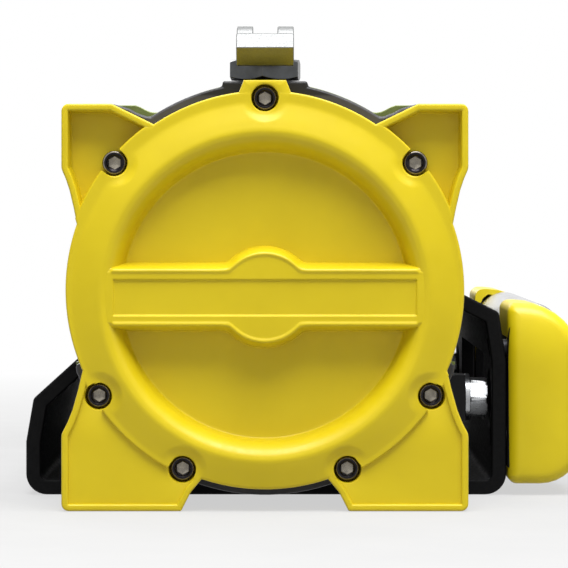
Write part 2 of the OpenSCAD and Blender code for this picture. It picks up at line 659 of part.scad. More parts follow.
// Stages along the axis: the input stage lies behind the cover, the output stage next to the drum
input_y = 2 * gear_gap - gasket_y;
input_carrier_y = input_y + gear_w + gear_gap;
middle_y = input_carrier_y + carrier_t + gear_gap;
middle_carrier_y = middle_y + gear_w + gear_gap;
output_y = middle_carrier_y + carrier_t + gear_gap;
output_carrier_y = output_y + last_gear_w + gear_gap;
output_carrier_end_y = output_carrier_y + carrier_t + 1.2 * gear_gap;
carrier_r = pitch_r(ring_teeth) - addendum - 4 * gear_gap;
planet_pin_r = 6;
planet_bore_r = planet_pin_r + run_clear;
shaft_hole_r = shaft_r + 2 * air_gap;
function planet_angle(k) = 90 + 120 * k;
module at_planet(k) let (p = polar(centre_r, planet_angle(k))) translate([p[0], 0, p[1]]) children();
module planet(k, y, w) color("#9a9da3") at_planet(k) translate([0, 0, axis_z]) difference() {
    slab(y, y + w) rotate(planet_angle(k) + 180 / planet_teeth) outer_gear(planet_teeth);
    rod(planet_bore_r, y - over, y + w + over);
    for (a = [0:60:300]) rotate([0, a, 0]) translate([(planet_bore_r + pitch_r(planet_teeth)) / 1.9, 0, 0])
        rod(planet_pin_r / 3, y - over, y + w + over);
}
module sun(y, w) difference() {
    disc(y, y + w) outer_gear(sun_teeth);
    translate([0, 0, axis_z]) rod(shaft_hole_r, y - over, y + w + over);
}
module carrier(y, t, hole_r) translate([0, 0, axis_z]) difference() {
    rod(carrier_r, y, y + t);
    rod(hole_r, y - over, y + t + over);
    for (k = [0:2]) rotate([0, 60, 0]) at_planet(k) rod(2 * planet_pin_r, y - over, y + t + over);
    for (k = [0:2]) at_planet(k) rod(planet_pin_r, y - over, y + t + over);
}
module planet_pins(y, y_end) color("#c4c6ca") for (k = [0:2]) at_planet(k)
    translate([0, 0, axis_z]) rod(planet_pin_r, y, y_end);
module ring_gear() color("#8a8d93") difference() {
    disc(gear_gap - gasket_y, output_carrier_y - gear_gap) difference() {
        circle(ring_gear_r);
        rotate(180 / ring_teeth) polygon(gear_points(ring_teeth, pitch_r(ring_teeth) - addendum,
            pitch_r(ring_teeth) + dedendum, -backlash / 2));
    }
    translate([0, clutch_y, axis_z + ring_gear_r - 1.1 * plunger_lift + air_gap])
        cylinder(r = plunger_r + air_gap, h = 2 * plunger_lift);
}
module input_planet_a() planet(0, input_y, gear_w);
module input_planet_b() planet(1, input_y, gear_w);
module input_planet_c() planet(2, input_y, gear_w);
module middle_planet_a() planet(0, middle_y, gear_w);
module middle_planet_b() planet(1, middle_y, gear_w);
module middle_planet_c() planet(2, middle_y, gear_w);
module output_planet_a() planet(0, output_y, last_gear_w);
module output_planet_b() planet(1, output_y, last_gear_w);
module output_planet_c() planet(2, output_y, last_gear_w);
module input_carrier() color("#6f7277") carrier(input_carrier_y, carrier_t, shaft_hole_r);
module middle_carrier() color("#6f7277") carrier(middle_carrier_y, carrier_t, shaft_hole_r);
module input_planet_pins() planet_pins(input_y, input_carrier_y + carrier_t);
module middle_planet_pins() planet_pins(middle_y, middle_carrier_y + carrier_t);
module output_planet_pins() planet_pins(output_y, output_carrier_end_y);
// Each sun is pressed against the carrier that drives it
module middle_sun() color("#b3b6bb") sun(input_carrier_y + carrier_t, gear_gap + gear_w);
module output_sun() color("#b3b6bb") sun(middle_carrier_y + carrier_t, gear_gap + last_gear_w);
module output_carrier() color("#6f7277") difference() {
    union() {
        carrier(output_carrier_y, output_carrier_end_y - output_carrier_y, shaft_hole_r);
        disc(output_carrier_end_y - seat_gap, output_carrier_end_y + hub_len) circle(hub_hex_r, $fn = 6);
    }
    translate([0, 0, axis_z])
        rod(shaft_hole_r, output_carrier_y - over, output_carrier_end_y + hub_len + over);
}
hub_len = 16;
hub_hex_r = 18;

// Drum
drum_half = bay_y - flange_gap;
drum_bore_r = 14;
anchor_y = drum_half - flange_t - 4 * bolt_r;
module drum() color("#4a4b4f") translate([0, 0, axis_z]) difference() {
    union() {
        rod(barrel_r, -drum_half, drum_half);
        rod(flange_r, -drum_half, flange_t - drum_half);
        rod(flange_r, drum_half - flange_t, drum_half);
        rod(journal_r, output_carrier_end_y + seat_gap, bay_y + bushing_len - air_gap);
    }
    rod(drum_bore_r, -support_y - over, support_y + over);
    translate([0, output_carrier_end_y + hub_len + over, 0]) rotate([90, 0, 0])
        linear_extrude(hub_len + over) circle(hub_hex_r + seat_gap, $fn = 6);
    translate([0, anchor_y, 0]) cylinder(r = bolt_r + seat_gap, h = barrel_r + over);
    translate([0, anchor_y - 3 * bolt_r, 0]) cylinder(r = bolt_r, h = barrel_r + over);
}
module rope_anchor_screw() color("#3a3a3c") translate([0, anchor_y, axis_z + drum_bore_r + over])
    difference() {
        cylinder(r = bolt_r, h = barrel_r - drum_bore_r - 2 * over);
        translate([0, 0, barrel_r - drum_bore_r - 2 * over - bolt_r]) hexagon(1.2 * bolt_r, 2 * bolt_r);
    }

// Drive line from the motor, through the drum, to the input stage
socket_len = 18;
socket_y = support_y - bearing_w - socket_len;
hex_end_y = socket_y + socket_len - air_gap;
drive_af = 1.7 * shaft_r;
module drive_shaft() color("#c4c6ca") {
    translate([0, 0, axis_z]) {
        rod(shaft_r, air_gap - cover_back_y - cavity_h, socket_y - air_gap);
        translate([0, hex_end_y, 0]) rotate([90, 0, 0]) hexagon(drive_af, hex_end_y - socket_y + over);
    }
    disc(input_y, input_y + gear_w) outer_gear(sun_teeth);
}
// The motor's parts lie along the axis from the motor side support to the end bell
motor_y = support_y + seat_gap;
motor_end_y = motor_y + motor_len;
bell_y = motor_end_y + seat_gap;
motor_shaft_r = 7.5;
end_space = 68;
core_len = motor_len - end_space;
core_y = motor_y + core_len / 3;
winding_reach = core_len / 9;
commutator_y = core_y + core_len + 1.3 * winding_reach;
commutator_len = 20;
slot_count = 16;
slot_w = core_r / 18;
bearing_seat_y = bell_y + bell_len / 2 - bearing_w;
module armature_shaft() color("#c4c6ca") translate([0, 0, axis_z]) difference() {
    rod(motor_shaft_r, socket_y, bearing_seat_y + bearing_w);
    translate([0, hex_end_y + air_gap, 0]) rotate([90, 0, 0])
        hexagon(drive_af + 2 * seat_gap, socket_len + 2 * over);
}
module around(count, first = 0) for (i = [0:count - 1]) rotate([0, first + i * 360 / count, 0]) children();
module armature_core() color("#7a4a22") translate([0, 0, axis_z]) difference() {
    union() {
        rod(core_r, core_y, core_y + core_len);
        rod(core_r * 0.8, core_y - winding_reach, core_y + core_len + winding_reach);
    }
    rod(motor_shaft_r + seat_gap, core_y - 2 * winding_reach, core_y + core_len + 2 * winding_reach);
    around(slot_count) translate([core_r - 1.5 * slot_w, core_y - over, -slot_w / 2])
        cube([2 * slot_w, core_len + 2 * over, slot_w]);
}
module commutator() color("#b5763a") translate([0, 0, axis_z]) difference() {
    rod(commutator_r, commutator_y, commutator_y + commutator_len);
    rod(motor_shaft_r + seat_gap, commutator_y - over, commutator_y + commutator_len + over);
    around(slot_count) translate([commutator_r - slot_w, commutator_y - over, -slot_w / 5])
        cube([2 * slot_w, commutator_len + 2 * over, 0.4 * slot_w]);
}
bearing_y = support_y + motor_seat_depth - bearing_w;
module motor_bearings() color("#c4c6ca") translate([0, 0, axis_z])
    for (y = [bearing_y, bearing_seat_y]) difference() {
        rod(bearing_r, y, y + bearing_w);
        rod(motor_shaft_r + run_clear, y - over, y + bearing_w + over);
    }
rib_h = 3;
rib_len = 8;
module motor_housing() color("#1c1c1e") translate([0, 0, axis_z]) difference() {
    union() {
        rod(motor_r, motor_y, motor_end_y);
        rod(motor_r + rib_h, motor_y, motor_y + rib_len);
    }
    rod(motor_r - motor_wall, motor_y - over, motor_end_y + over);
}
magnet_gap = 2;
magnet_angle = 66;
magnet_reach = 4;
module field_magnets() color("#5b5550") intersection() {
    translate([0, 0, axis_z]) difference() {
        rod(motor_r - motor_wall - seat_gap, core_y - magnet_reach, core_y + core_len + magnet_reach);
        rod(core_r + magnet_gap, core_y - 2 * magnet_reach, core_y + core_len + 2 * magnet_reach);
    }
    disc(core_y - 2 * magnet_reach, core_y + core_len + 2 * magnet_reach) for (a = [45:90:315])
        polygon([[0, 0], polar(2 * motor_r, a - magnet_angle / 2),
            polar(2 * motor_r, a + magnet_angle / 2)]);
}
brush_plate_t = 4;
brush_plate_y = commutator_y + commutator_len - brush_plate_t / 2;
brush_w = 9;
brush_len = 16;
motor_bolt_r = 2.5;
motor_bolt_x = motor_r - motor_wall - 2.4 * motor_bolt_r;
module brush_plate() color("#3a2a1a") translate([0, 0, axis_z]) difference() {
    rod(motor_r - motor_wall - seat_gap, brush_plate_y, brush_plate_y + brush_plate_t);
    rod(commutator_r + magnet_gap, brush_plate_y - over, brush_plate_y + brush_plate_t + over);
    both_x() translate([motor_bolt_x, 0, 0])
        rod(1.2 * motor_bolt_r, brush_plate_y - over, brush_plate_y + brush_plate_t + over);
}
module brushes() color("#2e2e30") translate([0, 0, axis_z]) around(4, 45)
    translate([commutator_r + air_gap, brush_plate_y - seat_gap - brush_w * 1.2, -brush_w / 2])
        cube([brush_len, brush_w * 1.2, brush_w]);
bell_wall = 9;
bell_round = 7;
module motor_end_bell() color("#e8d11c") translate([0, 0, axis_z]) difference() {
    translate([0, bell_y, 0]) rotate([-90, 0, 0]) rotate_extrude()
        polygon(concat([[0, 0], [motor_r, 0]],
            arc([motor_r - bell_round, bell_len - bell_round], bell_round, 0, 90, arc_steps),
            [[0, bell_len]]));
    rod(motor_r - bell_wall, bell_y - over, bell_y + bell_len - bell_wall);
    both_x() translate([motor_bolt_x, 0, 0])
        rod(1.04 * motor_bolt_r, bell_y - over, bell_y + bell_len + over);
}
module motor_bolts() color("#8b8c90") both_x()
    translate([motor_bolt_x, bell_y + bell_len + seat_gap, axis_z]) rotate([-90, 0, 0])
        hex_bolt(motor_bolt_r, bell_len + motor_len + motor_bolt_bite);
// Terminals stand on the end bell
terminal_circle_r = 30;
terminal_len = 17;
module at_terminals() for (a = [90, 210, 330]) let (p = polar(terminal_circle_r, a))
    translate([p[0], bell_y + bell_len, axis_z + p[1]]) rotate([-90, 0, 0]) children();
// A stud has a collar, then its thread. Under the nut the thread is drawn at its pitch radius.
collar_t = 0.8 * stud_r;
terminal_nut_h = 1.5 * stud_r;
thread_core_r = 0.9 * stud_r;
free_thread_z = collar_t + terminal_nut_h + 3 * seat_gap;
module terminal_studs() color("#b9a25a") at_terminals() translate([0, 0, seat_gap]) {
    cylinder(r = thread_core_r, h = terminal_len);
    cylinder(r = 2.1 * stud_r, h = collar_t);
    translate([0, 0, free_thread_z]) cylinder(r = stud_r, h = terminal_len - free_thread_z);
}
module terminal_nuts() color("#b9a25a") at_terminals() translate([0, 0, collar_t + 2 * seat_gap])
    difference() {
        hex_head(stud_r, terminal_nut_h);
        translate([0, 0, -over]) cylinder(r = thread_core_r + seat_gap, h = terminal_nut_h + 2 * over);
    }

// Clutch: the body screws into the boss, and the plunger locks the ring gear from turning
hex_low_z = boss_top_z + neck_h;
hex_top_z = hex_low_z + hex_h;
pin_z = hex_top_z + pin_h;
spring_r = 7.2;
hex_turn = 26;
spring_play = 0.7;
spring_in_r = plunger_r + spring_play;
neck_step = 1.5;
spring_wire_r = 0.8;
chamber_r = spring_r + air_gap;
collar_low_z = boss_low_z + air_gap;
collar_h = 2;
chamber_top_z = hex_low_z + hex_h / 2;
module clutch_body() color("#161617") translate([0, clutch_y, 0]) difference() {
    union() {
        translate([0, 0, hex_low_z]) rotate(hex_turn) hex_chamfered(hex_af, hex_h);
        translate([0, 0, boss_low_z + air_gap]) cylinder(r = thread_r, h = hex_low_z - boss_low_z);
        translate([0, 0, boss_top_z + seat_gap]) cylinder(r = thread_r + neck_step, h = neck_h);
    }
    translate([0, 0, boss_low_z - over]) cylinder(r = chamber_r, h = chamber_top_z - boss_low_z + over);
    translate([0, 0, boss_low_z]) cylinder(r = plunger_r + run_clear, h = pin_z);
}
module hex_chamfered(af, h) intersection() {
    hexagon(af, h);
    rotate_extrude() polygon([[0, 0], [af / 2, 0], [af / sqrt(3), 0.14 * h], [af / sqrt(3), 0.86 * h],
        [af / 2, h], [0, h]]);
}
plunger_tip_z = axis_z + ring_gear_r - plunger_lift + 2 * air_gap;
module clutch_plunger() color("#aeb0b4") translate([0, clutch_y, 0]) difference() {
    union() {
        translate([0, 0, plunger_tip_z])
            cylinder(r = plunger_r, h = pin_z - plunger_tip_z + 1.3 * lever_pin_r);
        translate([0, 0, collar_low_z]) cylinder(r = spring_r, h = collar_h);
    }
    translate([0, 0, pin_z]) rod_x(lever_pin_r + run_clear, -lever_w, lever_w);
}
// The spring is one wire swept along a helix between the collar and the top of its chamber
spring_turns = 5;
spring_steps = 16;
spring_sides = 6;
spring_mid_r = (spring_r + spring_in_r) / 2;
spring_low_z = collar_low_z + collar_h + spring_wire_r + seat_gap;
spring_high_z = chamber_top_z - spring_wire_r - seat_gap;
spring_rings = spring_turns * spring_steps;
spring_points = [for (i = [0:spring_rings], j = [0:spring_sides - 1]) let (
    a = i * 360 / spring_steps, b = j * 360 / spring_sides, r = spring_mid_r + spring_wire_r * cos(b))
    [r * cos(a), r * sin(a), spring_low_z + (spring_high_z - spring_low_z) * i / spring_rings
        + spring_wire_r * sin(b)]];
spring_faces = concat([[for (j = [0:spring_sides - 1]) j],
    [for (j = [spring_sides - 1:-1:0]) spring_rings * spring_sides + j]],
    [for (i = [0:spring_rings - 1], j = [0:spring_sides - 1]) let (k = (j + 1) % spring_sides)
        [i * spring_sides + j, (i + 1) * spring_sides + j,
            (i + 1) * spring_sides + k, i * spring_sides + k]]);
module clutch_spring() color("#b9bbc0") translate([0, clutch_y, 0])
    polyhedron(points = spring_points, faces = spring_faces, convexity = 8);

// The lever's cheeks are cams. At each turn of the lever their lowest point keeps the same
// small gap above the clutch body while the pin rises in step with the turn.
cam_low = pin_h - 2 * run_clear;
cam_rate = plunger_lift / (PI / 2);
cam_steps = 12;
function cam_point(a) = let (h = cam_low + plunger_lift * a / 90)
    [h * sin(a) + cam_rate * cos(a), cam_rate * sin(a) - h * cos(a)];
cam_top_r = 7.6;
handle_top = 3.5;
handle_drop = 1.4;
handle_low = handle_drop - pin_h;
lip_low = -9.8;
lip_gap = 1.2;
lip_t = 2.5;
lip_back = -hex_af / sqrt(3) - lip_gap;
ridge = [-28.5, -2.6];
ridge_w = 5.5;
// Drawn with the pin at the origin, the handle towards -X and up towards +Y
module lever_side() difference() {
    union() {
        polygon(concat([for (i = [0:cam_steps]) cam_point(90 * i / cam_steps)],
            [[cam_top_r, cam_top_r / 2]], arc([0, 0], cam_top_r, 60, 150, 12),
            [[-cam_top_r, 0], [-cam_top_r, handle_low]]));
    }
    circle(lever_pin_r);
}
module lever_handle() polygon([[-cam_top_r / 2, handle_top], [-0.8 * cam_top_r, handle_low],
    [lip_back, handle_low], [lip_back, lip_low], [lip_back - lip_t, lip_low], ridge,
    [ridge[0] + ridge_w, handle_top]]);
module along_x(x0, x1) translate([x0, clutch_y, pin_z]) rotate([90, 0, 90])
    linear_extrude(x1 - x0) children();
module clutch_lever() color("#d6d7da") {
    difference() {
        along_x(-lever_w / 2, lever_w / 2) lever_handle();
        along_x(-lever_slot / 2, lever_slot / 2) circle(1.5 * cam_top_r);
    }
    both_x() along_x(lever_slot / 2, lever_w / 2) lever_side();
}
module lever_pin() color("#aeb0b4") translate([0, clutch_y, pin_z])
    rod_x(lever_pin_r, -lever_w / 2 + air_gap, lever_w / 2 - air_gap);

cap_top_r = 26;
cap_low_r = 18;
cap_corner_r = 5;
cap_steps = 10;
// Fairlead: two end brackets carry four rollers, and a cap covers each bracket
wall_x = channel_half + seat_gap;
roller_axis_x = channel_half + roller_x;
fairlead_y = fairlead_bay / 2;
bracket_t = 5;
lug_t = 3.4;
shelf_reach = roller_x + roller_r;
end_roller_y = fairlead_y + lug_t + roller_r + air_gap;
// The end rollers just clear the inner corners of the caps
corner_reach = roller_x + roller_r + 2 * air_gap - cap_reach;
end_roller_high_z = cap_high_z - cap_top_r - air_gap
    + sqrt(pow(cap_top_r - cap_wall, 2) - pow(corner_reach + cap_top_r, 2));
end_roller_low_z = cap_low_z + cap_low_r + air_gap
    - sqrt(pow(cap_low_r - cap_wall, 2) - pow(corner_reach + cap_low_r, 2));
end_roller_z = (end_roller_high_z + end_roller_low_z) / 2;
bracket_end_y = fairlead_y + cap_len - cap_wall - air_gap;
bracket_low_z = cap_low_z + cap_wall + air_gap;
bracket_high_z = cap_high_z - cap_wall - air_gap;
fairlead_screw_y = bracket_end_y - 2.4 * bolt_r / 1.5;
fairlead_screw_z = [bracket_low_z + 3.4 * bolt_r, bracket_high_z - 3.4 * bolt_r];
module fairlead_brackets() color("#1a1a1c") both_y() difference() {
    intersection() {
        union() {
            translate([wall_x, fairlead_y, bracket_low_z])
                cube([bracket_t, bracket_end_y - fairlead_y, bracket_high_z - bracket_low_z]);
            for (z = [end_roller_low_z - bracket_t, end_roller_high_z]) translate([wall_x, fairlead_y, z])
                cube([shelf_reach, end_roller_y + roller_r - fairlead_y, bracket_t]);
            for (z = [bottom_roller_z, top_roller_z]) translate([0, 0, z]) {
                translate([roller_axis_x, 0, 0]) rod(2 * roller_pin_r, fairlead_y, fairlead_y + lug_t);
                translate([wall_x, fairlead_y, -2 * roller_pin_r])
                    cube([roller_x, lug_t, 4 * roller_pin_r]);
            }
        }
        translate([channel_half, 0, 0]) slab(0, 2 * fairlead_y)
            polygon(hollow_points(cap_wall + air_gap));
    }
    for (z = [bottom_roller_z, top_roller_z]) translate([roller_axis_x, 0, z])
        rod(roller_pin_r + seat_gap, fairlead_y - over, fairlead_y + lug_t + over);
    translate([roller_axis_x, end_roller_y, 0]) {
        cylinder(r = roller_pin_r + seat_gap, h = cap_high_z);
        translate([0, 0, end_roller_low_z])
            cylinder(r = roller_r + 2 * air_gap, h = end_roller_high_z - end_roller_low_z);
    }
    for (z = fairlead_screw_z) translate([0, fairlead_screw_y, z])
        rod_x(screw_r * 4 / 3 + seat_gap, channel_half - over, wall_x + bracket_t + over);
}
// Side view of a cap, with its back on the wall, and shrunk evenly by the inset
function cap_points(inset) = let (x1 = cap_reach - inset, z0 = cap_low_z + inset, z1 = cap_high_z - inset,
    rt = cap_top_r - inset, rl = cap_low_r - inset) concat(
    [[air_gap, z0 + cap_corner_r], [air_gap + cap_corner_r / 2, z0 + cap_corner_r / 3],
        [air_gap + cap_corner_r, z0]], arc([x1 - rl, z0 + rl], rl, -90, 0, cap_steps),
    arc([x1 - rt, z1 - rt], rt, 0, 90, cap_steps),
    [[air_gap + cap_corner_r, z1], [air_gap + cap_corner_r / 2, z1 - cap_corner_r / 3],
        [air_gap, z1 - cap_corner_r]]);
// Outline of a cap's hollow. Its upper corner by the wall is filled in up to the top roller.
roller_play = 1.2;
function hollow_points(inset) = let (x = roller_axis_x - channel_half,
    r = roller_r + roller_play + cap_wall - inset,
    first = 180 - asin(min(1, (cap_high_z - inset - top_roller_z) / r)),
    last = acos(max(-1, (air_gap - x) / r))) concat(
    [for (p = cap_points(inset)) if (p[0] > x || p[1] < top_roller_z) p],
    arc([x, top_roller_z], r, first, last, cap_steps));
module fairlead_caps() color("#e8d11c") both_y() translate([channel_half, 0, 0]) difference() {
    slab(fairlead_y + air_gap, fairlead_y + cap_len) polygon(cap_points(0));
    translate([-over, 0, 0]) slab(fairlead_y - over, fairlead_y + cap_len - cap_wall)
        polygon([for (p = hollow_points(cap_wall))
            [p[0] < 2 * air_gap ? p[0] - over : p[0] + over, p[1]]]);
}
module fairlead_screws() color("#3a3a3c") both_y() for (z = fairlead_screw_z)
    translate([wall_x + bracket_t + seat_gap, fairlead_screw_y, z]) rotate([0, 90, 0])
        socket_screw(screw_r * 4 / 3, bracket_t + plate_t - over);
module roller(length) difference() {
    rotate_extrude() polygon([[0, -length / 2], [roller_r - air_gap * 4, -length / 2],
        [roller_r, air_gap * 4 - length / 2], [roller_r, length / 2 - air_gap * 4],
        [roller_r - air_gap * 4, length / 2], [0, length / 2]]);
    cylinder(r = roller_pin_r + run_clear, h = length + 2 * over, center = true);
}
long_roller = fairlead_bay - 4 * air_gap;
short_roller = end_roller_high_z - end_roller_low_z - 2 * air_gap;
module top_roller() color("#b9bbc0") translate([roller_axis_x, 0, top_roller_z])
    rotate([90, 0, 0]) roller(long_roller);
module bottom_roller() color("#b9bbc0") translate([roller_axis_x, 0, bottom_roller_z])
    rotate([90, 0, 0]) roller(long_roller);
module end_roller(side) color("#b9bbc0")
    translate([roller_axis_x, side * end_roller_y, end_roller_z])
        roller(short_roller);
module gear_end_roller() end_roller(-1);
module motor_end_roller() end_roller(1);
module roller_pins() color("#8b8c90") {
    for (z = [bottom_roller_z, top_roller_z]) translate([roller_axis_x, 0, z])
        rod(roller_pin_r, -fairlead_y - lug_t, fairlead_y + lug_t);
    both_y() translate([roller_axis_x, end_roller_y, end_roller_low_z - bracket_t])
        cylinder(r = roller_pin_r, h = end_roller_high_z - end_roller_low_z + 2 * bracket_t);
}

mounting_channel();
foot_screws();
foot_nuts();
side_bolts();
side_washers();
gear_end_cover();
cover_screws();
cover_gasket();
ring_gear_housing();
adapter_plate();
gear_side_support();
motor_side_support();
tie_bolts();
drum_bushings();
ring_gear();
drum();
rope_anchor_screw();
output_carrier();
output_planet_pins();
output_planet_a();
output_planet_b();
output_planet_c();
middle_sun();
middle_carrier();
middle_planet_pins();
middle_planet_a();
middle_planet_b();
middle_planet_c();
output_sun();
input_carrier();
input_planet_pins();
input_planet_a();
input_planet_b();
input_planet_c();
drive_shaft();
armature_shaft();
armature_core();
commutator();
motor_housing();
motor_end_bell();
motor_bolts();
field_magnets();
brush_plate();
brushes();
motor_bearings();
terminal_studs();
terminal_nuts();
clutch_body();
clutch_plunger();
clutch_spring();
clutch_lever();
lever_pin();
fairlead_brackets();
fairlead_caps();
fairlead_screws();
roller_pins();
top_roller();
bottom_roller();
gear_end_roller();
motor_end_roller();
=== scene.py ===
# %% [markdown]
# # An electric recovery winch
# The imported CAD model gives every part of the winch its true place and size. This lesson
# dresses it: the big castings get surfaces of their own, worked out with numpy, and each
# small machined part keeps its CAD shape with its sharp edges broken, as a real edge is.
# Lengths are in millimetres in the code, and turned to metres when a mesh is made.

# %% Load the frame
import json
import math

import bmesh
import bpy
import numpy as np
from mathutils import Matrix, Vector

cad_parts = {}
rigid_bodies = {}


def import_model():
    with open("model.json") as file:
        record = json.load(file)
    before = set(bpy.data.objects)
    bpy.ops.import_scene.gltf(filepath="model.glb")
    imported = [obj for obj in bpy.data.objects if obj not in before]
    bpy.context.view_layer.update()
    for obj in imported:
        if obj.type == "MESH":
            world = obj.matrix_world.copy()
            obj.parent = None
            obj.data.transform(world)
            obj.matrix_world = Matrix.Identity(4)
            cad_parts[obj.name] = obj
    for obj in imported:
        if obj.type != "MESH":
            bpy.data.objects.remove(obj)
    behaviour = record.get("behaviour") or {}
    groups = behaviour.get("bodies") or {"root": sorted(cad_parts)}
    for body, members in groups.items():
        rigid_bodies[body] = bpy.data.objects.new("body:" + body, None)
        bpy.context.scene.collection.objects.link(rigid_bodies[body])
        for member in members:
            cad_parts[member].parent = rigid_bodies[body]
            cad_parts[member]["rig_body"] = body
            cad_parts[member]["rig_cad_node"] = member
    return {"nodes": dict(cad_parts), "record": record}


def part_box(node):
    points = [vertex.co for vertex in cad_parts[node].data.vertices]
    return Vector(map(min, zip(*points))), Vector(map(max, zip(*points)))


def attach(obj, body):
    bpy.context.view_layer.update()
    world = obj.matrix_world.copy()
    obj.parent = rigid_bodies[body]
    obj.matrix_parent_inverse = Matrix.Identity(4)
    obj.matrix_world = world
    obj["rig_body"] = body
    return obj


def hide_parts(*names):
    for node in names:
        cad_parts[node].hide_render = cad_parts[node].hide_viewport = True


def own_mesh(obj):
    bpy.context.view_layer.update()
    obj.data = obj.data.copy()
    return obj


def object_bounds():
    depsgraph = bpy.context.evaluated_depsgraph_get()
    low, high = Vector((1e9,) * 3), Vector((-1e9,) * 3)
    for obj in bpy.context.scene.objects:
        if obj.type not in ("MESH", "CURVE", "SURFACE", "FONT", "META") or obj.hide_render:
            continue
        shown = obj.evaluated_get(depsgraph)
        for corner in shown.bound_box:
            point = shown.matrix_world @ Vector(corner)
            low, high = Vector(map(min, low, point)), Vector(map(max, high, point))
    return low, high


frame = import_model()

cad_low, cad_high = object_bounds()
MM = 1000  # millimetres in a metre


def span(node):
    """Lowest and highest corner of a CAD node, in millimetres."""
    low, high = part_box(node)
    return np.array(low) * MM, np.array(high) * MM


def places_in(mesh):
    """The points of a mesh, in metres, as an array of shape (points, 3)."""
    places = np.zeros(len(mesh.vertices) * 3, np.float32)
    mesh.vertices.foreach_get("co", places)
    return places.reshape(-1, 3)


def points_of(node):
    """The points of a CAD node's mesh, in millimetres."""
    return places_in(frame["nodes"][node].data) * MM


# %% [markdown]
# ## From numbers to a mesh
# Every new piece is a grid of points: one parameter runs along its rows, the other along its
# columns. One function turns such grids into a mesh. It joins points that coincide, so seams
# and poles are closed, and lets Blender turn the faces of each closed shell outwards.

# %% Grids to meshes
def proper(three):
    """Those triangles whose three corners are all different points."""
    return three[(three[:, 0] != three[:, 1]) & (three[:, 1] != three[:, 2]) & (three[:, 0] != three[:, 2])]


def put_in_scene(name, data):
    """An object of this mesh, lamp or camera, linked to the scene."""
    obj = bpy.data.objects.new(name, data)
    bpy.context.scene.collection.objects.link(obj)
    return obj


def mesh_of(name, grids):
    """A mesh object from grids of points in millimetres, each of shape (rows, columns, 3).

    Neighbouring points i, j / i+1, j / i+1, j+1 / i, j+1 make a four-sided face. Points closer
    than a micrometre become one, and faces that lose a side that way are three-sided.
    """
    points, quads, first = [], [], 0
    for g in grids:
        rows, cols = g.shape[:2]
        i = np.arange(rows * cols).reshape(rows, cols) + first
        quads.append(np.stack([i[:-1, :-1], i[1:, :-1], i[1:, 1:], i[:-1, 1:]], -1).reshape(-1, 4))
        points.append(g.reshape(-1, 3))
        first += rows * cols
    points, quads = np.concatenate(points), np.concatenate(quads)
    _, keep, back = np.unique(np.round(points, 3), axis=0, return_index=True, return_inverse=True)
    points, quads = points[keep], back.reshape(-1)[quads]
    lost = quads == np.roll(quads, -1, axis=1)
    one_lost = lost.sum(1) == 1
    three = proper(quads[one_lost][~lost[one_lost]].reshape(-1, 3))
    whole = quads[~lost.any(1)]
    whole = whole[(whole[:, 0] != whole[:, 2]) & (whole[:, 1] != whole[:, 3])]
    mesh = bpy.data.meshes.new(name)
    mesh.vertices.add(len(points))
    mesh.vertices.foreach_set("co", (points / MM).astype(np.float32).ravel())
    mesh.loops.add(4 * len(whole) + 3 * len(three))
    corners = np.concatenate([whole.ravel(), three.ravel()])
    mesh.loops.foreach_set("vertex_index", corners.astype(np.int32))
    mesh.polygons.add(len(whole) + len(three))
    starts = np.concatenate([4 * np.arange(len(whole)), 4 * len(whole) + 3 * np.arange(len(three))])
    mesh.polygons.foreach_set("loop_start", starts.astype(np.int32))
    mesh.update(calc_edges=True)
    mesh.validate()
    bm = bmesh.new()
    bm.from_mesh(mesh)
    bmesh.ops.recalc_face_normals(bm, faces=bm.faces)
    bm.to_mesh(mesh)
    bm.free()
    return put_in_scene(name, mesh)


def smooth(obj, degrees=32):
    """Shade smoothly, with a crease wherever two faces meet at more than the angle."""
    mesh = obj.data
    mesh.polygons.foreach_set("use_smooth", np.ones(len(mesh.polygons), bool))
    mesh.set_sharp_from_angle(angle=math.radians(degrees))
    return obj


def break_edges(obj, width, degrees=28, segments=2, clamp=False):
    """Give an object's creases a small rounded bevel, its width in millimetres."""
    bevel = obj.modifiers.new("broken edges", "BEVEL")
    bevel.width, bevel.segments = width / MM, segments
    bevel.limit_method, bevel.angle_limit = "ANGLE", math.radians(degrees)
    bevel.use_clamp_overlap = clamp
    bevel.harden_normals = True
    return obj


# %% [markdown]
# A CAD node arrives as loose triangles. A copy of it is welded, its flat faces are joined to
# single faces, and only then is there an edge for a bevel to round. The copy stands for the
# node, which stays in the physics model.

# %% Copies of CAD nodes with broken edges
def softened(node, width, clamp=False, flat=0.6):
    """A welded copy of a CAD node, its creases bevelled by width millimetres.

    Faces that meet within the flat angle, in degrees, are joined. Where the edges of a node lie
    closer than the bevel is wide, clamp keeps the bevel from crossing itself.
    """
    source = frame["nodes"][node].data
    co, tri = places_in(source), np.zeros(len(source.loops), np.int32)
    source.loops.foreach_get("vertex_index", tri)
    _, keep, back = np.unique(np.round(co, 6), axis=0, return_index=True, return_inverse=True)
    mesh = bpy.data.meshes.new(node + "_soft")
    mesh.from_pydata(co[keep], [], proper(back.reshape(-1)[tri.reshape(-1, 3)]))
    mesh.validate()
    bm = bmesh.new()
    bm.from_mesh(mesh)
    bmesh.ops.dissolve_limit(bm, angle_limit=math.radians(flat), verts=bm.verts, edges=bm.edges)
    bm.to_mesh(mesh)
    bm.free()
    obj = smooth(put_in_scene(node + "_soft", mesh))
    return break_edges(obj, width, clamp=clamp) if width else obj


def stand_for(obj, *nodes):
    """Let a piece ride with its CAD nodes' body and be shown in their place."""
    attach(obj, frame["nodes"][nodes[0]]["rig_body"])
    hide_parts(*nodes)
    return obj


# %% [markdown]
# ## Turned shapes and rounded outlines
# Two recipes make the new pieces. A lathe carries a profile round an axis, and its radius may
# change with the angle, which draws a hexagon. An outline with rounded corners can be drawn
# again and again, each time a little further in, and a profile that says how far in and how
# high then gives a rim, a wall or a domed cap.

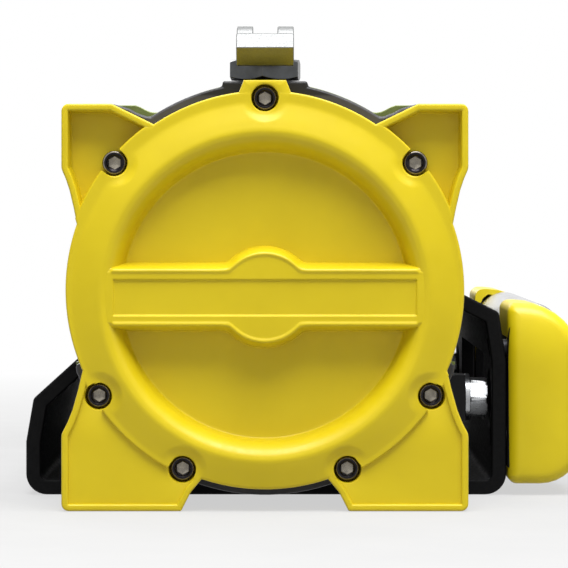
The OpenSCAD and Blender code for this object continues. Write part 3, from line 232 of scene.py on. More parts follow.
# %% The two recipes
AXIS_Z = 90.6  # height of the drum's axis


def lathe(rows, turn, centre, along="y"):
    """A turned surface from rows of (place, r): r is a number, or an array with one per angle.

    At the angle a of turn a point lies r cos a across and r sin a up from the centre, and at
    place along the axis. The last angle falls on the first, and the seam is joined.
    """
    across, up = np.cos(turn), np.sin(turn)
    grid = [[place + 0 * turn, centre[0] + r * across, centre[1] + r * up] for place, r in rows]
    return np.array(grid).transpose(0, 2, 1)[..., [1, 0, 2] if along == "y" else [0, 1, 2]]


def full_turn(step):
    """Angles once round, both ends included, from a step in degrees."""
    return np.radians(np.arange(0, 360 + step / 2, step))


def rounded(corners, radii, inset=0.0, steps=6, closed=True):
    """An outline with rounded corners, moved inwards by inset, always with the same point count.

    Each corner moves along its bisector so that its edges shift by inset. Its arc has the
    corner's radius less the inset on a convex corner, plus it on a hollow one, and never less
    than a hair. Corners run counter-clockwise, so inwards is to the left.
    """
    hair = 0.02
    p = np.array(corners, float)
    r = np.broadcast_to(np.array(radii, float), len(p))
    ahead = np.roll(p, -1, axis=0) - p
    ahead /= np.maximum(np.linalg.norm(ahead, axis=1), 1e-9)[:, None]
    if not closed:
        ahead[-1] = ahead[-2]
    before = np.roll(ahead, 1, axis=0)
    if not closed:
        before[0] = ahead[0]
    left_b = np.stack([-before[:, 1], before[:, 0]], -1)
    left_a = np.stack([-ahead[:, 1], ahead[:, 0]], -1)
    shared = 1 + np.sum(left_b * left_a, axis=1)
    q = p + inset * (left_b + left_a) / shared[:, None]
    turn = np.arctan2(np.sum(left_b * ahead, axis=1), np.sum(before * ahead, axis=1))
    side = np.where(turn >= 0, 1.0, -1.0)
    rho = np.maximum(r - side * inset, hair)
    start = q - before * (rho * np.tan(np.abs(turn) / 2))[:, None]
    centre = start + left_b * (rho * side)[:, None]
    angle = turn[:, None] * np.linspace(0, 1, steps + 1)
    spoke = -left_b * side[:, None]
    c, s = np.cos(angle), np.sin(angle)
    x = spoke[:, :1] * c - spoke[:, 1:] * s
    z = spoke[:, :1] * s + spoke[:, 1:] * c
    return (centre[:, None, :] + rho[:, None, None] * np.stack([x, z], -1)).reshape(-1, 2)


def carried(corners, radii, profile):
    """A profile of (inset, height) pairs carried along an open rounded outline, a row for each."""
    paths = [(rounded(corners, radii, inset, closed=False), height) for inset, height in profile]
    return np.array([np.column_stack([path, np.full(len(path), height)]) for path, height in paths])


def capped(tube):
    """A tube's grid with both ends closed: a column at the middle of its first, and of its last."""
    ends = tube.mean(axis=0)
    first, last = [np.repeat(ends[None, [i]], len(tube), axis=0) for i in (0, -1)]
    return np.concatenate([first, tube, last], axis=1)


# %% [markdown]
# ## Colours and nodes
# Colours are written as hex values, as a picture editor shows them, and turned to the linear
# values that the shaders count with. A second small helper adds one shader node at a time.

# %% Helpers for materials
def colour(code):
    """Linear red, green, blue and alpha from an sRGB hex value."""
    v = np.array([int(code[i:i + 2], 16) for i in (1, 3, 5)]) / 255
    v = np.where(v <= 0.04045, v / 12.92, ((v + 0.055) / 1.055) ** 2.4)
    return (*v.tolist(), 1.0)


def add(tree, kind, sockets=None, **settings):
    """A new shader node: settings are its attributes, sockets its inputs, as values or as links."""
    node = tree.nodes.new("ShaderNode" + kind)
    for key, value in settings.items():
        setattr(node, key, value)
    for key, value in (sockets or {}).items():
        if isinstance(value, bpy.types.NodeSocket):
            tree.links.new(value, node.inputs[key])
        else:
            node.inputs[key].default_value = value
    return node


def blended(tree, share, first, second):
    """A colour between two others: the first where share is 0, the second where it is 1."""
    return add(tree, "Mix", {0: share, 6: first, 7: second}, data_type="RGBA").outputs[2]


def here(tree):
    """The place in the object, as a socket."""
    return add(tree, "TexCoord").outputs["Object"]


def found(tree, kind):
    """The first node of a kind in a tree."""
    return next(node for node in tree.nodes if node.type == kind)


def per_mm(size):
    """The scale at which a noise pattern has features of about this many millimetres."""
    return MM / size


# %% [markdown]
# Every finish on the winch is built the same way. A wide, soft pattern lets the colour drift
# between two close shades, as no coat or metal is quite even. A fine one varies the gloss and
# raises a slight relief. Drawn out along one axis, the fine pattern gives the rings that a
# cutting tool leaves. What differs between paint, plating and steel is in the numbers.

# %% One recipe for a finish
NOISE = (0.3, 0.7)  # nearly all of a noise pattern lies between these values


def finish_of(name, shades, rough, drift, grain, depth, stretch=(1, 1, 1), **sockets):
    """A material from two sRGB shades, a middle roughness, and patterns in millimetres.

    drift is the size of the colour's changes, grain that of the fine relief, depth its height.
    Along an axis where stretch is small the grain is long. Further sockets go on the shader.
    """
    material = bpy.data.materials.new(name)
    material.use_nodes = True
    tree = material.node_tree
    tree.nodes.clear()
    place = here(tree)
    wide = add(tree, "TexNoise", {"Vector": place, "Scale": per_mm(drift), "Detail": 3.0})
    share = add(tree, "MapRange", {"Value": wide.outputs["Fac"], "From Min": NOISE[0], "From Max": NOISE[1]})
    tone = blended(tree, share.outputs["Result"], colour(shades[0]), colour(shades[1]))
    drawn = add(tree, "Mapping", {"Vector": place, "Scale": stretch})
    fine = add(tree, "TexNoise", {"Vector": drawn.outputs["Vector"], "Scale": per_mm(grain), "Detail": 2.0})
    gloss = add(tree, "MapRange", {
        "Value": fine.outputs["Fac"], "From Min": NOISE[0], "From Max": NOISE[1],
        "To Min": rough * 0.82, "To Max": rough * 1.2})
    relief = add(tree, "Bump", {"Height": fine.outputs["Fac"], "Distance": depth / MM, "Strength": 0.5})
    shader = add(tree, "BsdfPrincipled", {
        "Base Color": tone, "Roughness": gloss.outputs["Result"], "Normal": relief.outputs["Normal"]})
    for key, value in sockets.items():
        shader.inputs[key.replace("_", " ")].default_value = value
    add(tree, "OutputMaterial", {"Surface": shader.outputs["BSDF"]})
    return material


# %% [markdown]
# ## Painted finishes
# The end castings and the fairlead caps wear a glossy yellow. On the castings it is powder
# coat: powder melts into a thick skin with a faint orange peel, about 3 mm from swell to swell,
# so the highlights are soft and wide. The caps are moulded nylon, smoother and a little duller.
# The channel, the motor and the brackets wear the same coat in black satin.

# %% Powder coats
yellow_coat = finish_of("yellow_powder_coat_on_cast_aluminium", ("#cdb60b", "#d4bd10"), 0.42, 26, 3.2, 0.02,
                        IOR=1.42)
yellow_plastic = finish_of("yellow_moulded_nylon_cap", ("#d2bc0c", "#d9c412"), 0.36, 30, 4.0, 0.015, IOR=1.42)
black_coat = finish_of("black_satin_powder_coat_on_steel", ("#070708", "#0c0c0d"), 0.62, 20, 1.6, 0.02,
                       IOR=1.5, Specular_IOR_Level=0.1)
print("powder coats made")

# %% [markdown]
# The gear case is a grey paint over an as-cast skin: flatter, with a sandy grain of under a
# millimetre. Its clutch boss, above the case, is painted nearly black, so there the colour
# changes with height. The plate behind it carries an olive passivation, a thin chromate film
# that drifts in hue, and the gasket board between them is raw fibre.

# %% Cast and passivated skins
dark_casting = finish_of("dark_grey_paint_on_casting", ("#333337", "#3e3e43"), 0.42, 14, 0.8, 0.04,
                         IOR=1.5, Specular_IOR_Level=0.3)
tree = dark_casting.node_tree
base = found(tree, "BSDF_PRINCIPLED").inputs["Base Color"]
height = add(tree, "SeparateXYZ", {"Vector": here(tree)}).outputs["Z"]
boss = add(tree, "MapRange", {"Value": height, "From Min": 0.1705, "From Max": 0.1715})
tree.links.new(blended(tree, boss.outputs["Result"], base.links[0].from_socket, colour("#121214")), base)
black_casting = finish_of("black_paint_on_casting", ("#0e0e0f", "#151517"), 0.46, 14, 0.8, 0.04,
                          IOR=1.5, Specular_IOR_Level=0.2)
olive_plating = finish_of("olive_chromate_on_steel", ("#56602a", "#75803f"), 0.36, 9, 0.6, 0.01, Metallic=0.3)
print("castings and plating made")

# %% [markdown]
# ## Bare metals
# A turned part shows fine rings round its axis, a ground or plated one a soft random grain.
# The marks on a real roller are some hundredths of a millimetre apart, too fine to show here,
# so they are drawn at about half a millimetre. A metal's colour is the colour of its
# reflections, so pale zinc and dark oxide differ in the shades, not in the light.

# %% Metals
RINGS_Y, RINGS_Z = (0.03, 1.0, 0.03), (0.03, 0.03, 1.0)
zinc_steel = finish_of("bright_zinc_on_steel", ("#a4a6a9", "#b4b6b8"), 0.3, 6, 0.6, 0.002, Metallic=1.0)
screw_steel = finish_of("dark_zinc_on_screw_steel", ("#6b665e", "#8a8478"), 0.26, 3, 0.5, 0.002, Metallic=1.0)
screw_oxide = finish_of(
    "black_oxide_on_screw_heads", ("#19171a", "#262428"), 0.24, 3, 0.5, 0.006, Metallic=0.9)
black_oxide = finish_of("black_oxide_on_steel", ("#1b1b1d", "#29292c"), 0.34, 4, 0.6, 0.008, Metallic=0.9)
hex_steel = finish_of("phosphated_clutch_steel", ("#46484a", "#55575a"), 0.34, 5, 0.6, 0.01, Metallic=0.9)
lever_steel = finish_of(
    "ground_and_plated_lever_steel", ("#727373", "#7a7b7b"), 0.5, 10, 0.7, 0.001, Metallic=1.0)
roller_steel = finish_of(
    "turned_roller_steel", ("#aeb0b2", "#c0c1c3"), 0.24, 12, 0.5, 0.004, RINGS_Y, Metallic=1.0)
roller_upright = finish_of(
    "turned_upright_roller_steel", ("#aeb0b2", "#c0c1c3"), 0.24, 12, 0.5, 0.004, RINGS_Z, Metallic=1.0)
gear_steel = finish_of("ground_gear_steel", ("#868a90", "#a2a5aa"), 0.3, 5, 0.5, 0.008, RINGS_Y, Metallic=1.0)
drum_steel = finish_of(
    "satin_black_steel_drum", ("#29292b", "#38383b"), 0.36, 30, 0.5, 0.008, RINGS_Y, Metallic=0.8)
bright_aluminium = finish_of(
    "tumbled_bright_aluminium", ("#c6c8ca", "#d8d9da"), 0.24, 8, 0.6, 0.008, Metallic=1.0)
bronze = finish_of("sintered_bronze", ("#96713a", "#b88f50"), 0.36, 3, 0.5, 0.01, RINGS_Y, Metallic=1.0)
brass = finish_of("brass_plated_stud", ("#b99550", "#d3b36e"), 0.26, 3, 0.5, 0.006, Metallic=1.0)
copper = finish_of("commutator_copper", ("#a5623c", "#c67c52"), 0.28, 3, 0.5, 0.008, RINGS_Y, Metallic=1.0)
print("metals made")

# %% [markdown]
# ## Inside the motor and the gear case
# The sealed parts are seldom seen, but each still has its own stuff: pressed fibre, ceramic
# magnet, phenolic board and carbon, all matt, with a grain of about a millimetre. The winding
# is a bundle of lacquered wire, drawn as slanting bands a few millimetres wide.

# %% Dull materials
gasket_fibre = finish_of("pressed_gasket_fibre", ("#1b1a17", "#2a2722"), 0.85, 2, 0.8, 0.05)
ferrite = finish_of("ferrite_magnet", ("#3a3836", "#4c4946"), 0.6, 2, 1.2, 0.03)
phenolic = finish_of("phenolic_board", ("#3a2415", "#57371f"), 0.45, 3, 1.5, 0.02)
carbon = finish_of("carbon_brush", ("#1f1f21", "#303033"), 0.55, 1, 0.6, 0.03)
winding = finish_of("enamelled_copper_winding", ("#4e260e", "#a5602c"), 0.32, 4.5, 0.6, 0.02, Metallic=0.6)
tree = winding.node_tree
shader = found(tree, "BSDF_PRINCIPLED")
strands = add(tree, "TexWave", {"Vector": here(tree), "Scale": per_mm(4.5), "Distortion": 1.2, "Detail": 1.0},
              wave_type="BANDS", bands_direction="DIAGONAL").outputs["Fac"]
wire = blended(tree, strands, colour("#4e260e"), colour("#a5602c"))
ridges = add(tree, "Bump", {"Height": strands, "Distance": 0.3 / MM, "Strength": 0.6})
tree.links.new(wire, shader.inputs["Base Color"])
tree.links.new(ridges.outputs["Normal"], shader.inputs["Normal"])
print("dull materials made")

# %% [markdown]
# ## Which finish goes where
# The record names a finish for every node. This table gives each of those names its material.

# %% Materials on the CAD nodes
finish = {
    "yellow_coat": yellow_coat, "yellow_plastic": yellow_plastic, "black_coat": black_coat,
    "dark_casting": dark_casting, "olive_plating": olive_plating, "black_oxide_steel": black_oxide,
    "zinc_steel": zinc_steel, "screw_steel": screw_steel, "gear_steel": gear_steel,
    "roller_steel": roller_steel, "bright_aluminium": bright_aluminium, "drum_steel": drum_steel,
    "bronze": bronze, "brass_plate": brass, "copper": copper, "gasket_fibre": gasket_fibre,
    "ferrite": ferrite, "phenolic": phenolic, "carbon": carbon}
special = {
    "clutch_body": hex_steel, "gear_end_roller": roller_upright, "motor_end_roller": roller_upright,
    "clutch_lever": lever_steel, "armature_core": winding, "gear_side_support": black_casting,
    "motor_side_support": black_casting}
slot_of = {part["node"]: part["material_slot"] for part in frame["record"]["subparts"]}


def dress(obj, node):
    """Give an object the material of a CAD node."""
    obj.data.materials.clear()
    obj.data.materials.append(special.get(node) or finish[slot_of[node]])
    return obj


for node, obj in frame["nodes"].items():
    dress(obj, node)
print("finishes given to", len(slot_of), "nodes")

# %% [markdown]
# ## The gear end cover
# The face of the winch is one big yellow casting: a ring with a domed crest round a sunken
# floor, a bar across it with a round hub and a bare panel, two hollow ears above and two feet
# below. A single height map over the whole face would leave steps along every slanting rim. So
# each form gets the recipe that follows its own edges, and the shells sink into one another
# as far as a fillet does on the casting.

# %% The cover's levels
# Heights are counted from the cover's back face towards the viewer
low, high = span("gear_end_cover")
BACK, CREST = high[1], high[1] - low[1]
FLANGE, FLOOR, SEAT = CREST - 3.0, CREST - 12.0, CREST - 15.0
EDGE_R, POCKET_R, EDGE_ROUND = 81.7, 83.1, 0.8
EAR_X, EAR_TOP, TAB_TOP = high[0], 166.9, high[2]
# Angle of each screw on the cover and its distance from the axis, and the counterbore's radius
SCREWS = {90: 78.8, 40.1: 81.0, 139.9: 81.0, -32.5: 81.0, 212.5: 81.0, -65.3: 81.0, 245.3: 81.0}
BORE_R = 5.6
print("cover", np.round(high - low, 1), "crest", round(CREST, 1))


def face(x, z, height):
    """Points of the cover from a place in its plane and a height above its back."""
    x, z, height = np.broadcast_arrays(x, z, height)
    return np.stack([x, BACK - height, z], -1)


def eased(t):
    """0 to 1 with level ends: 3 t squared less 2 t cubed."""
    t = np.clip(t, 0, 1)
    return t * t * (3 - 2 * t)


def averaged(values, width, reach=60):
    """A running average of values under a bell curve, its width and reach counted in steps."""
    bell = np.exp(-0.5 * (np.arange(-reach, reach + 1) / width) ** 2)
    return np.convolve(np.pad(values, reach, mode="edge"), bell / bell.sum(), "valid")


def melted(knots, blur, step=0.05):
    """A height as a function of a place, drawn through knots and melted as cast edges are.

    The straight lines between the knots are averaged with a bell curve of the given width.
    """
    places = np.arange(knots[0][0] - 4, knots[-1][0] + 4, step)
    heights = averaged(np.interp(places, *zip(*knots)), blur / step)
    return lambda at: np.interp(at, places, heights)


# %% [markdown]
# The ring is a profile carried round the axis, but it changes with the angle. Its dome sinks to
# the flange round each screw, where the spanner's socket has to pass, and its edge steps in on
# a smaller circle, the counterbore. The dome's own centre lies 2.3 mm under the axis, so the
# grid's centre moves from one to the other on its way out. A profile through a few measured
# points would have sharp corners. It is melted by a running average, as a coated casting's are.

# %% Ring, dome and floor
def near_side(angle, size, default):
    """Radius at which a ray meets the near side of a circle round a screw, or the default.

    The ray at angle d from the screw, whose centre is at distance c, meets a circle of radius s
    at c cos d - sqrt(s^2 - c^2 sin^2 d), where that root is real.
    """
    out = np.array(default, float) * np.ones_like(angle)
    for at, c in SCREWS.items():
        d = np.radians((angle - at + 180) % 360 - 180)
        inside = size ** 2 - (c * np.sin(d)) ** 2
        near = c * np.cos(d) - np.sqrt(np.maximum(inside, 0))
        out = np.where((inside >= 0) & (np.cos(d) > 0), np.minimum(out, near), out)
    return out


DOME_Z, MOVE_R = 88.3, 70  # the dome's centre, and the radius where the grid's centre moves off it
dome = melted([
    (0, FLOOR), (59.4, FLOOR), (59.8, CREST - 9.0), (60.5, CREST - 6.4), (61.7, CREST - 4.0),
    (63.3, CREST - 1.9), (65.2, CREST - 0.5), (67.2, CREST), (68.6, CREST - 0.15), (72, CREST - 1.0),
    (76.2, CREST - 2.2), (79.2, FLANGE), (95, FLANGE)], 0.4)
angles = [np.linspace(-90, 270, 541)]
for at in SCREWS:
    angles.append(at + np.linspace(-12, 12, 73))
    angles.append(at + np.array([-4.0, -3.97, -3.95, 3.95, 3.97, 4.0]))  # both lips of a counterbore
angles = np.unique(np.round(np.clip(np.concatenate(angles), -90, 270), 3))
turn, level = np.radians(angles), np.ones_like(angles)
edge = EDGE_R * level
for first, last in ((20.5, 55.0), (125.0, 159.5), (-70.5, -25.0), (205.0, 250.5)):  # behind each lug
    edge += (POCKET_R - EDGE_R) * (eased(angles - first) - eased(angles - last))
edge = np.minimum(near_side(angles, BORE_R, edge), edge)
outwards = np.linspace(0, 1, 17)[1:, None]
inner = [[0, 20], np.arange(36, 58, 7), np.arange(58.6, 61.4, 0.2), np.arange(61.4, MOVE_R, 0.5)]
inner = np.concatenate(inner)[:, None] * level
ring_r = np.concatenate([inner, MOVE_R + (edge - EDGE_ROUND - MOVE_R) * outwards])
share = np.concatenate([np.zeros((len(inner), 1)), outwards])
place_x, place_z = ring_r * np.cos(turn), DOME_Z + (AXIS_Z - DOME_Z) * share + ring_r * np.sin(turn)
heads = [(c * np.cos(np.radians(at)), AXIS_Z + c * np.sin(np.radians(at))) for at, c in SCREWS.items()]
# Level within 5.8 mm of a screw, back to the full dome 4.6 mm further out. The dome's inner
# slope, up to 63 mm from its centre, is left whole.
free = eased((np.min([np.hypot(place_x - x, place_z - z) for x, z in heads], axis=0) - 5.8) / 4.6)
from_dome = np.hypot(place_x, place_z - DOME_Z)
ring_h = FLANGE + (dome(from_dome) - FLANGE) * np.where(from_dome > 63.0, free, 1)
bend = np.radians(np.linspace(75, 0, 5))[:, None]
edge_r = np.concatenate([edge - EDGE_ROUND + EDGE_ROUND * np.cos(bend), [edge, edge, 0 * edge]])
edge_h = np.concatenate([FLANGE - EDGE_ROUND + EDGE_ROUND * np.sin(bend), [[SEAT], [0.0], [0.0]]]) * level
ring = np.concatenate([face(place_x, place_z, ring_h),
                       face(edge_r * np.cos(turn), AXIS_Z + edge_r * np.sin(turn), edge_h)])
print("ring grid", ring.shape[:2])

# %% [markdown]
# The bar's wall is narrow, with a small bead along its top edge that swings out round the hub,
# and both ends run out on the ring's slope. So its grid follows that edge: at each place along
# the bar the rows stand at fixed distances inside the edge, measured square to it. Between the
# beads lies a flat, and in it the bare panel, sunk by 0.9 mm.

# %% Bar with its hub
BAR_Z, HALF, HUB_R, PANEL = 87.55, 14.0, 21.0, 0.9
BAR_TOP = CREST - 0.5
near_end = np.arange(51, 61, 0.5)
along = np.unique(np.concatenate([
    np.arange(-66, 66.1, 1.0), np.arange(-24, 24.1, 0.4), near_end, -near_end,
    62 + np.linspace(-0.6, 0.6, 7), -62 + np.linspace(-0.6, 0.6, 7)]))
fine = np.arange(-70, 70.01, 0.1)
half = averaged(np.maximum(HALF, np.sqrt(np.maximum(HUB_R ** 2 - fine ** 2, 0))), 13)
slope = np.interp(along, fine, np.gradient(half, fine))
half = np.interp(along, fine, half)
inside = np.concatenate([np.arange(-0.8, 4.8, 0.2), [5.0, 5.2]])
bead = melted([
    (-1, FLOOR - 1.5), (0.0, FLOOR - 0.4), (0.5, CREST - 7.6), (1.0, CREST - 4.2), (1.6, CREST - 1.8),
    (2.3, CREST - 0.4), (3.0, CREST), (3.6, CREST - 0.15), (4.3, BAR_TOP), (6, BAR_TOP)], 0.25)
panel = melted([(0, 1), (7.1, 1), (7.5, 0), (9, 0)], 0.15)
sunk = melted([(0, 1), (61.8, 1), (62.2, 0), (70, 0)], 0.15)(np.abs(along))
flat = np.array([8.3, 8.0, 7.8, 7.6, 7.5, 7.4, 7.3, 7.2, 7.1, 7.0, 6.8, 6.5, 3.0, 0.0])
upper = np.concatenate([half - inside[:, None] * np.hypot(1, slope), flat[:, None] + 0 * along])
own = np.concatenate([bead(inside), BAR_TOP - 0 * flat])[:, None] - PANEL * panel(upper) * sunk


def half_of(side):
    """Heights of the bar's upper half, side 1, or of its lower half, side -1.

    From 62.8 mm off the dome's centre the bead gives way, over 2.6 mm, to the ring's own height.
    """
    from_centre = np.hypot(along, BAR_Z + side * upper - DOME_Z)
    given = eased((from_centre - 62.8) / 2.6) * eased((upper - 9.4) / 1.8)
    return own * (1 - given) + (dome(from_centre) - 0.3) * given


across = BAR_Z + np.concatenate([-upper, upper[-2::-1]])
top = face(along, across, np.concatenate([half_of(-1), half_of(1)[-2::-1]]))
under = face(along, across, FLOOR - 2.0)
bar = capped(np.concatenate([top, under[::-1], top[:1]]))
print("bar grid", bar.shape[:2])

# %% [markdown]
# Each lug is a rim, a round-edged wall carried along the lug's outline, and a floor under it.
# The rim's inner flank leans a little, for the mould, and sweeps into the floor with a fillet
# of 3 mm. A foot is nearly solid: two plates with a counterbore each fill it up to 1.7 mm under
# the flange. The tab over the top screw is such a plate too.

# %% Lugs and tab
def on_ring(r, degrees):
    """A place in the cover's plane, by radius and angle about the drum axis."""
    return (r * math.cos(math.radians(degrees)), AXIS_Z + r * math.sin(math.radians(degrees)))


def neck(start_at, end_at):
    """Three points of the lug's waist, drawn between its shoulder and the ring."""
    (x0, z0), (x1, z1) = start_at, end_at
    return [(x0 + (x1 - x0) * u, z0 + (z1 - z0) * v) for u, v in ((0.28, 0.18), (0.52, 0.38), (0.79, 0.7))]


ear_side, ear_shoulder = on_ring(81.4, 19), (EAR_X, 140.3)
ear = [on_ring(74, 17.5), ear_side] + neck(ear_shoulder, ear_side)[::-1] + [
    ear_shoulder, (EAR_X, EAR_TOP), (62.8, EAR_TOP), on_ring(81.4, 56.3), on_ring(72, 55.0)]
ear_r = [0.5, 2.0, 8.0, 8.0, 8.0, 6.0, 3.0, 1.6, 1.5, 0.5]
foot_side, foot_shoulder = on_ring(81.4, -23.6), (EAR_X, 31.4)
foot = [on_ring(72, -70.4), on_ring(81.4, -71.6), (30.4, 7.7), (34.3, 0.0), (EAR_X, 0.0)]
foot += [foot_shoulder] + neck(foot_shoulder, foot_side) + [foot_side, on_ring(74, -22.0)]
foot_r = [0.5, 1.2, 1.2, 1.0, 3.0, 6.0, 8.0, 8.0, 8.0, 2.0, 0.5]
TOP = FLANGE - 0.04
# The height where the rim's rounding starts, how far in its flank's foot lies, and its fillet
BROW, FLANK, FILLET = TOP - EDGE_ROUND, 3.3, 3.0
rim = [(0.0, 0.0), (0.0, BROW)]
rim += [(EDGE_ROUND * (1 - math.cos(a)), BROW + EDGE_ROUND * math.sin(a))
        for a in np.radians([20, 45, 70, 90])]
rim += [(2.0 + EDGE_ROUND * math.sin(a), BROW + EDGE_ROUND * math.cos(a))
        for a in np.radians([0, 20, 45, 70, 90])]
rim += [(FLANK, SEAT + FILLET)]
rim += [(FLANK + FILLET * (1 - math.cos(a)), SEAT + FILLET * (1 - math.sin(a)))
        for a in np.radians([18, 36, 54, 72, 90])]
rim += [(FLANK + FILLET, 0.0), (0.0, 0.0)]


def lug(corners, radii, middle_at, side, ground_at):
    """The rim and floor of a lug. The left side is the right one mirrored."""
    wall = capped(carried(corners, radii, rim))
    outline = rounded(corners, radii, 1.5, closed=False)
    outline = np.concatenate([outline, outline[:1]])
    middle = np.array(middle_at) * np.ones_like(outline)
    levels = [(middle, 0.0), (outline, 0.0), (outline, ground_at), (middle, ground_at)]
    ground = np.array([np.column_stack([p, np.full(len(p), level)]) for p, level in levels])
    return [face(side * g[..., 0], g[..., 1], g[..., 2]) for g in (wall, ground)]


def plate_round(hole, outline, top, edge):
    """A plate with a counterbore in it: its grid runs from the hole to the outline.

    Each ray from the hole's centre meets the side of the outline that it faces, where the cross
    products of ray, side and centre say. The edge lists how far inside it each height stands.
    """
    a, b = np.array(outline) - hole, np.roll(outline, -1, axis=0) - hole
    corner_at = np.arctan2(a[:, 1], a[:, 0]) % (2 * np.pi)
    around = np.sort(np.concatenate([full_turn(2.5), corner_at]))
    ray = np.stack([np.cos(around), np.sin(around)], -1)
    side = b - a
    cross = ray[:, None, 0] * side[None, :, 1] - ray[:, None, 1] * side[None, :, 0]
    with np.errstate(divide="ignore", invalid="ignore"):  # a ray along a side doesn't meet it
        along_ray = (a[:, 0] * side[:, 1] - a[:, 1] * side[:, 0])[None] / cross
        along_side = (a[None, :, 0] * ray[:, None, 1] - a[None, :, 1] * ray[:, None, 0]) / cross
    met = (along_ray > 0) & (along_side >= -1e-6) & (along_side <= 1 + 1e-6)
    reach = np.where(met, along_ray, np.inf).min(axis=1)
    bore = [(BORE_R, 0.0), (BORE_R, top - 0.5), (BORE_R + 0.15, top - 0.15), (BORE_R + 0.5, top)]
    out = [r + 0 * reach for r, _ in bore] + [reach - d for d, _ in edge] + [BORE_R + 0 * reach]
    heights = np.array([h for _, h in bore + edge] + [0.0])[:, None]
    return face(hole[0] + np.array(out) * ray[:, 0], hole[1] + np.array(out) * ray[:, 1], heights)


FOOT, EAR_FLOOR, FOOT_FLOOR = FLANGE - 1.7, SEAT + 1.8, SEAT - 0.03
foot_plates = {
    -32.5: [(52, 28), (82.2, 28), (79.6, 36.2), (77.5, 41.5), (75.2, 50), (73.5, 57), (60, 57), (52, 45)],
    -65.3: [(27.5, 14.5), (31.2, 8.6), (34.9, 1.2), (82.2, 1.2), (82.2, 28), (52, 28), (30, 27.5)]}
shells = [ring, bar]
for side in (1, -1):
    shells += lug(ear, ear_r, (70, 148), side, EAR_FLOOR) + lug(foot, foot_r, (64, 22), side, FOOT_FLOOR)
    for at, outline in foot_plates.items():
        plate = plate_round(np.array(on_ring(SCREWS[at], at)), outline, FOOT, [(0, FOOT), (0, 0)])
        shells.append(plate * [side, 1, 1])
tab = [(-14.0, 160.0), (14.0, 160.0), (18.3, 169.5), (10.9, 171.0), (8.7, TAB_TOP), (-8.7, TAB_TOP),
       (-10.9, 171.0), (-18.3, 169.5)]
hole = np.array(on_ring(SCREWS[90], 90))
shells.append(plate_round(hole, tab, TOP, [(0.6, TOP), (0.18, TOP - 0.18), (0.0, TOP - 0.6), (0.0, 0.0)]))
seat_y, seat_r = BACK - SEAT + 0.03, 6.5
shells.append(lathe([(BACK, 0.0), (BACK, seat_r), (seat_y, seat_r), (seat_y, 0.0)], full_turn(2.5), hole))
cover = smooth(mesh_of("gear_cover_casting", shells), 40)
dress(stand_for(cover, "gear_end_cover"), "gear_end_cover")
print("cover", len(cover.data.polygons), "faces")

# %% [markdown]
# ## Screws of the cover
# Seven socket head screws hold the cover. Each is a turned shape with a hexagonal socket, so
# its radius depends on the angle only there. The heads are blackened. A thin band on each
# head's rounded rim and the floor of each socket get a brighter steel: a painted highlight and
# painted glints, which is what the eye catches first.

# %% Socket head screws
SHANK_R, HEAD_R, HEAD_ROUND, SOCKET = 3.0, 4.95, 0.75, 5.0


def socket_screw(x, z, top, seat, tip):
    """A screw along Y. In its socket r is half the width across the flats, over the cosine of the
    angle to the middle of the nearest flat, and that draws a hexagon."""
    turn = full_turn(5)
    hexagon = SOCKET / 2 / np.cos((turn + np.pi / 6) % (np.pi / 3) - np.pi / 6)
    bend = np.radians(np.linspace(0, 90, 6))
    rows = [(tip, 0.0), (tip, SHANK_R - 0.6), (tip - 0.6, SHANK_R), (seat, SHANK_R), (seat, HEAD_R)]
    rows += [(top + HEAD_ROUND * (1 - math.sin(a)), HEAD_R - HEAD_ROUND * (1 - math.cos(a))) for a in bend]
    rows += [(top, 3.6), (top + 0.05, 3.4), (top + 0.45, 3.05), (top + 0.6, hexagon), (top + 3.0, hexagon),
             (top + 3.2, 0.94 * hexagon), (top + 3.9, 0.0)]
    return lathe(rows, turn, (x, z))


low, high = span("cover_screws")
heads = [on_ring(c, at) for at, c in SCREWS.items()]
screws = [socket_screw(x, z, low[1], BACK - SEAT, high[1]) for x, z in heads]
screws = smooth(mesh_of("cover_socket_screws", screws), 35)
dress(stand_for(screws, "cover_screws"), "cover_screws")
screws.data.materials[0] = screw_oxide
screws.data.materials.append(screw_steel)
place = np.zeros(len(screws.data.polygons) * 3, np.float32)
screws.data.polygons.foreach_get("center", place)
place = place.reshape(-1, 3) * MM
off = np.min([np.hypot(place[:, 0] - x, place[:, 2] - z) for x, z in heads], axis=0)
deep = place[:, 1] - low[1]
# Brighter steel on a thin band of the rounded rim is a painted highlight, and on the socket's floor painted
# glints.
rim_highlight_band = (deep < 0.5) & (off > 4.3) & (off < 4.8)
socket_glint_floor = (off < 3.4) & (deep > 2.9) & (deep < 3.95)
screws.data.polygons.foreach_set("material_index", (socket_glint_floor | rim_highlight_band).astype(np.int32))
print(len(heads), "cover screws, heads", round(BACK - SEAT - low[1], 1), "mm high")

# %% [markdown]
# ## Side bolts
# Two hexagon bolts hold the supports from the front. Their heads have an edge turned to the
# viewer, and the turned chamfer cuts the hexagon's corners to arcs. Both come from one radius,
# the smaller of the hexagon's and the cone's at each place.

# %% Hexagon bolts
ACROSS_FLATS, BOLT_R, BOLT_FROM_EDGE = 16.0, 5.0, 8.0


def hex_bolt(y, z, seat, top, tip, turned):
    """A bolt along X. Its head's radius is the smaller of a chamfer cone's and a hexagon's, which
    is half the width across the flats over the cosine of the angle to the nearest flat."""
    turn = full_turn(3)
    hexagon = ACROSS_FLATS / 2 / np.cos((turn - np.radians(turned)) % (np.pi / 3) - np.pi / 6)
    cone = [(seat, 8.6), (seat + 0.5, 9.3), (top - 1.3, 9.3), (top - 0.9, 8.9), (top - 0.45, 8.3),
            (top - 0.1, 7.7)]
    rows = [(tip, 0.0), (tip, BOLT_R - 0.4), (tip + 0.5, BOLT_R), (seat, BOLT_R)]
    rows += [(x, np.minimum(hexagon, r)) for x, r in cone] + [(top, 7.4), (top, 0.0)]
    return lathe(rows, turn, (y, z), along="x")


low, high = span("side_bolts")
points = points_of("side_bolts")
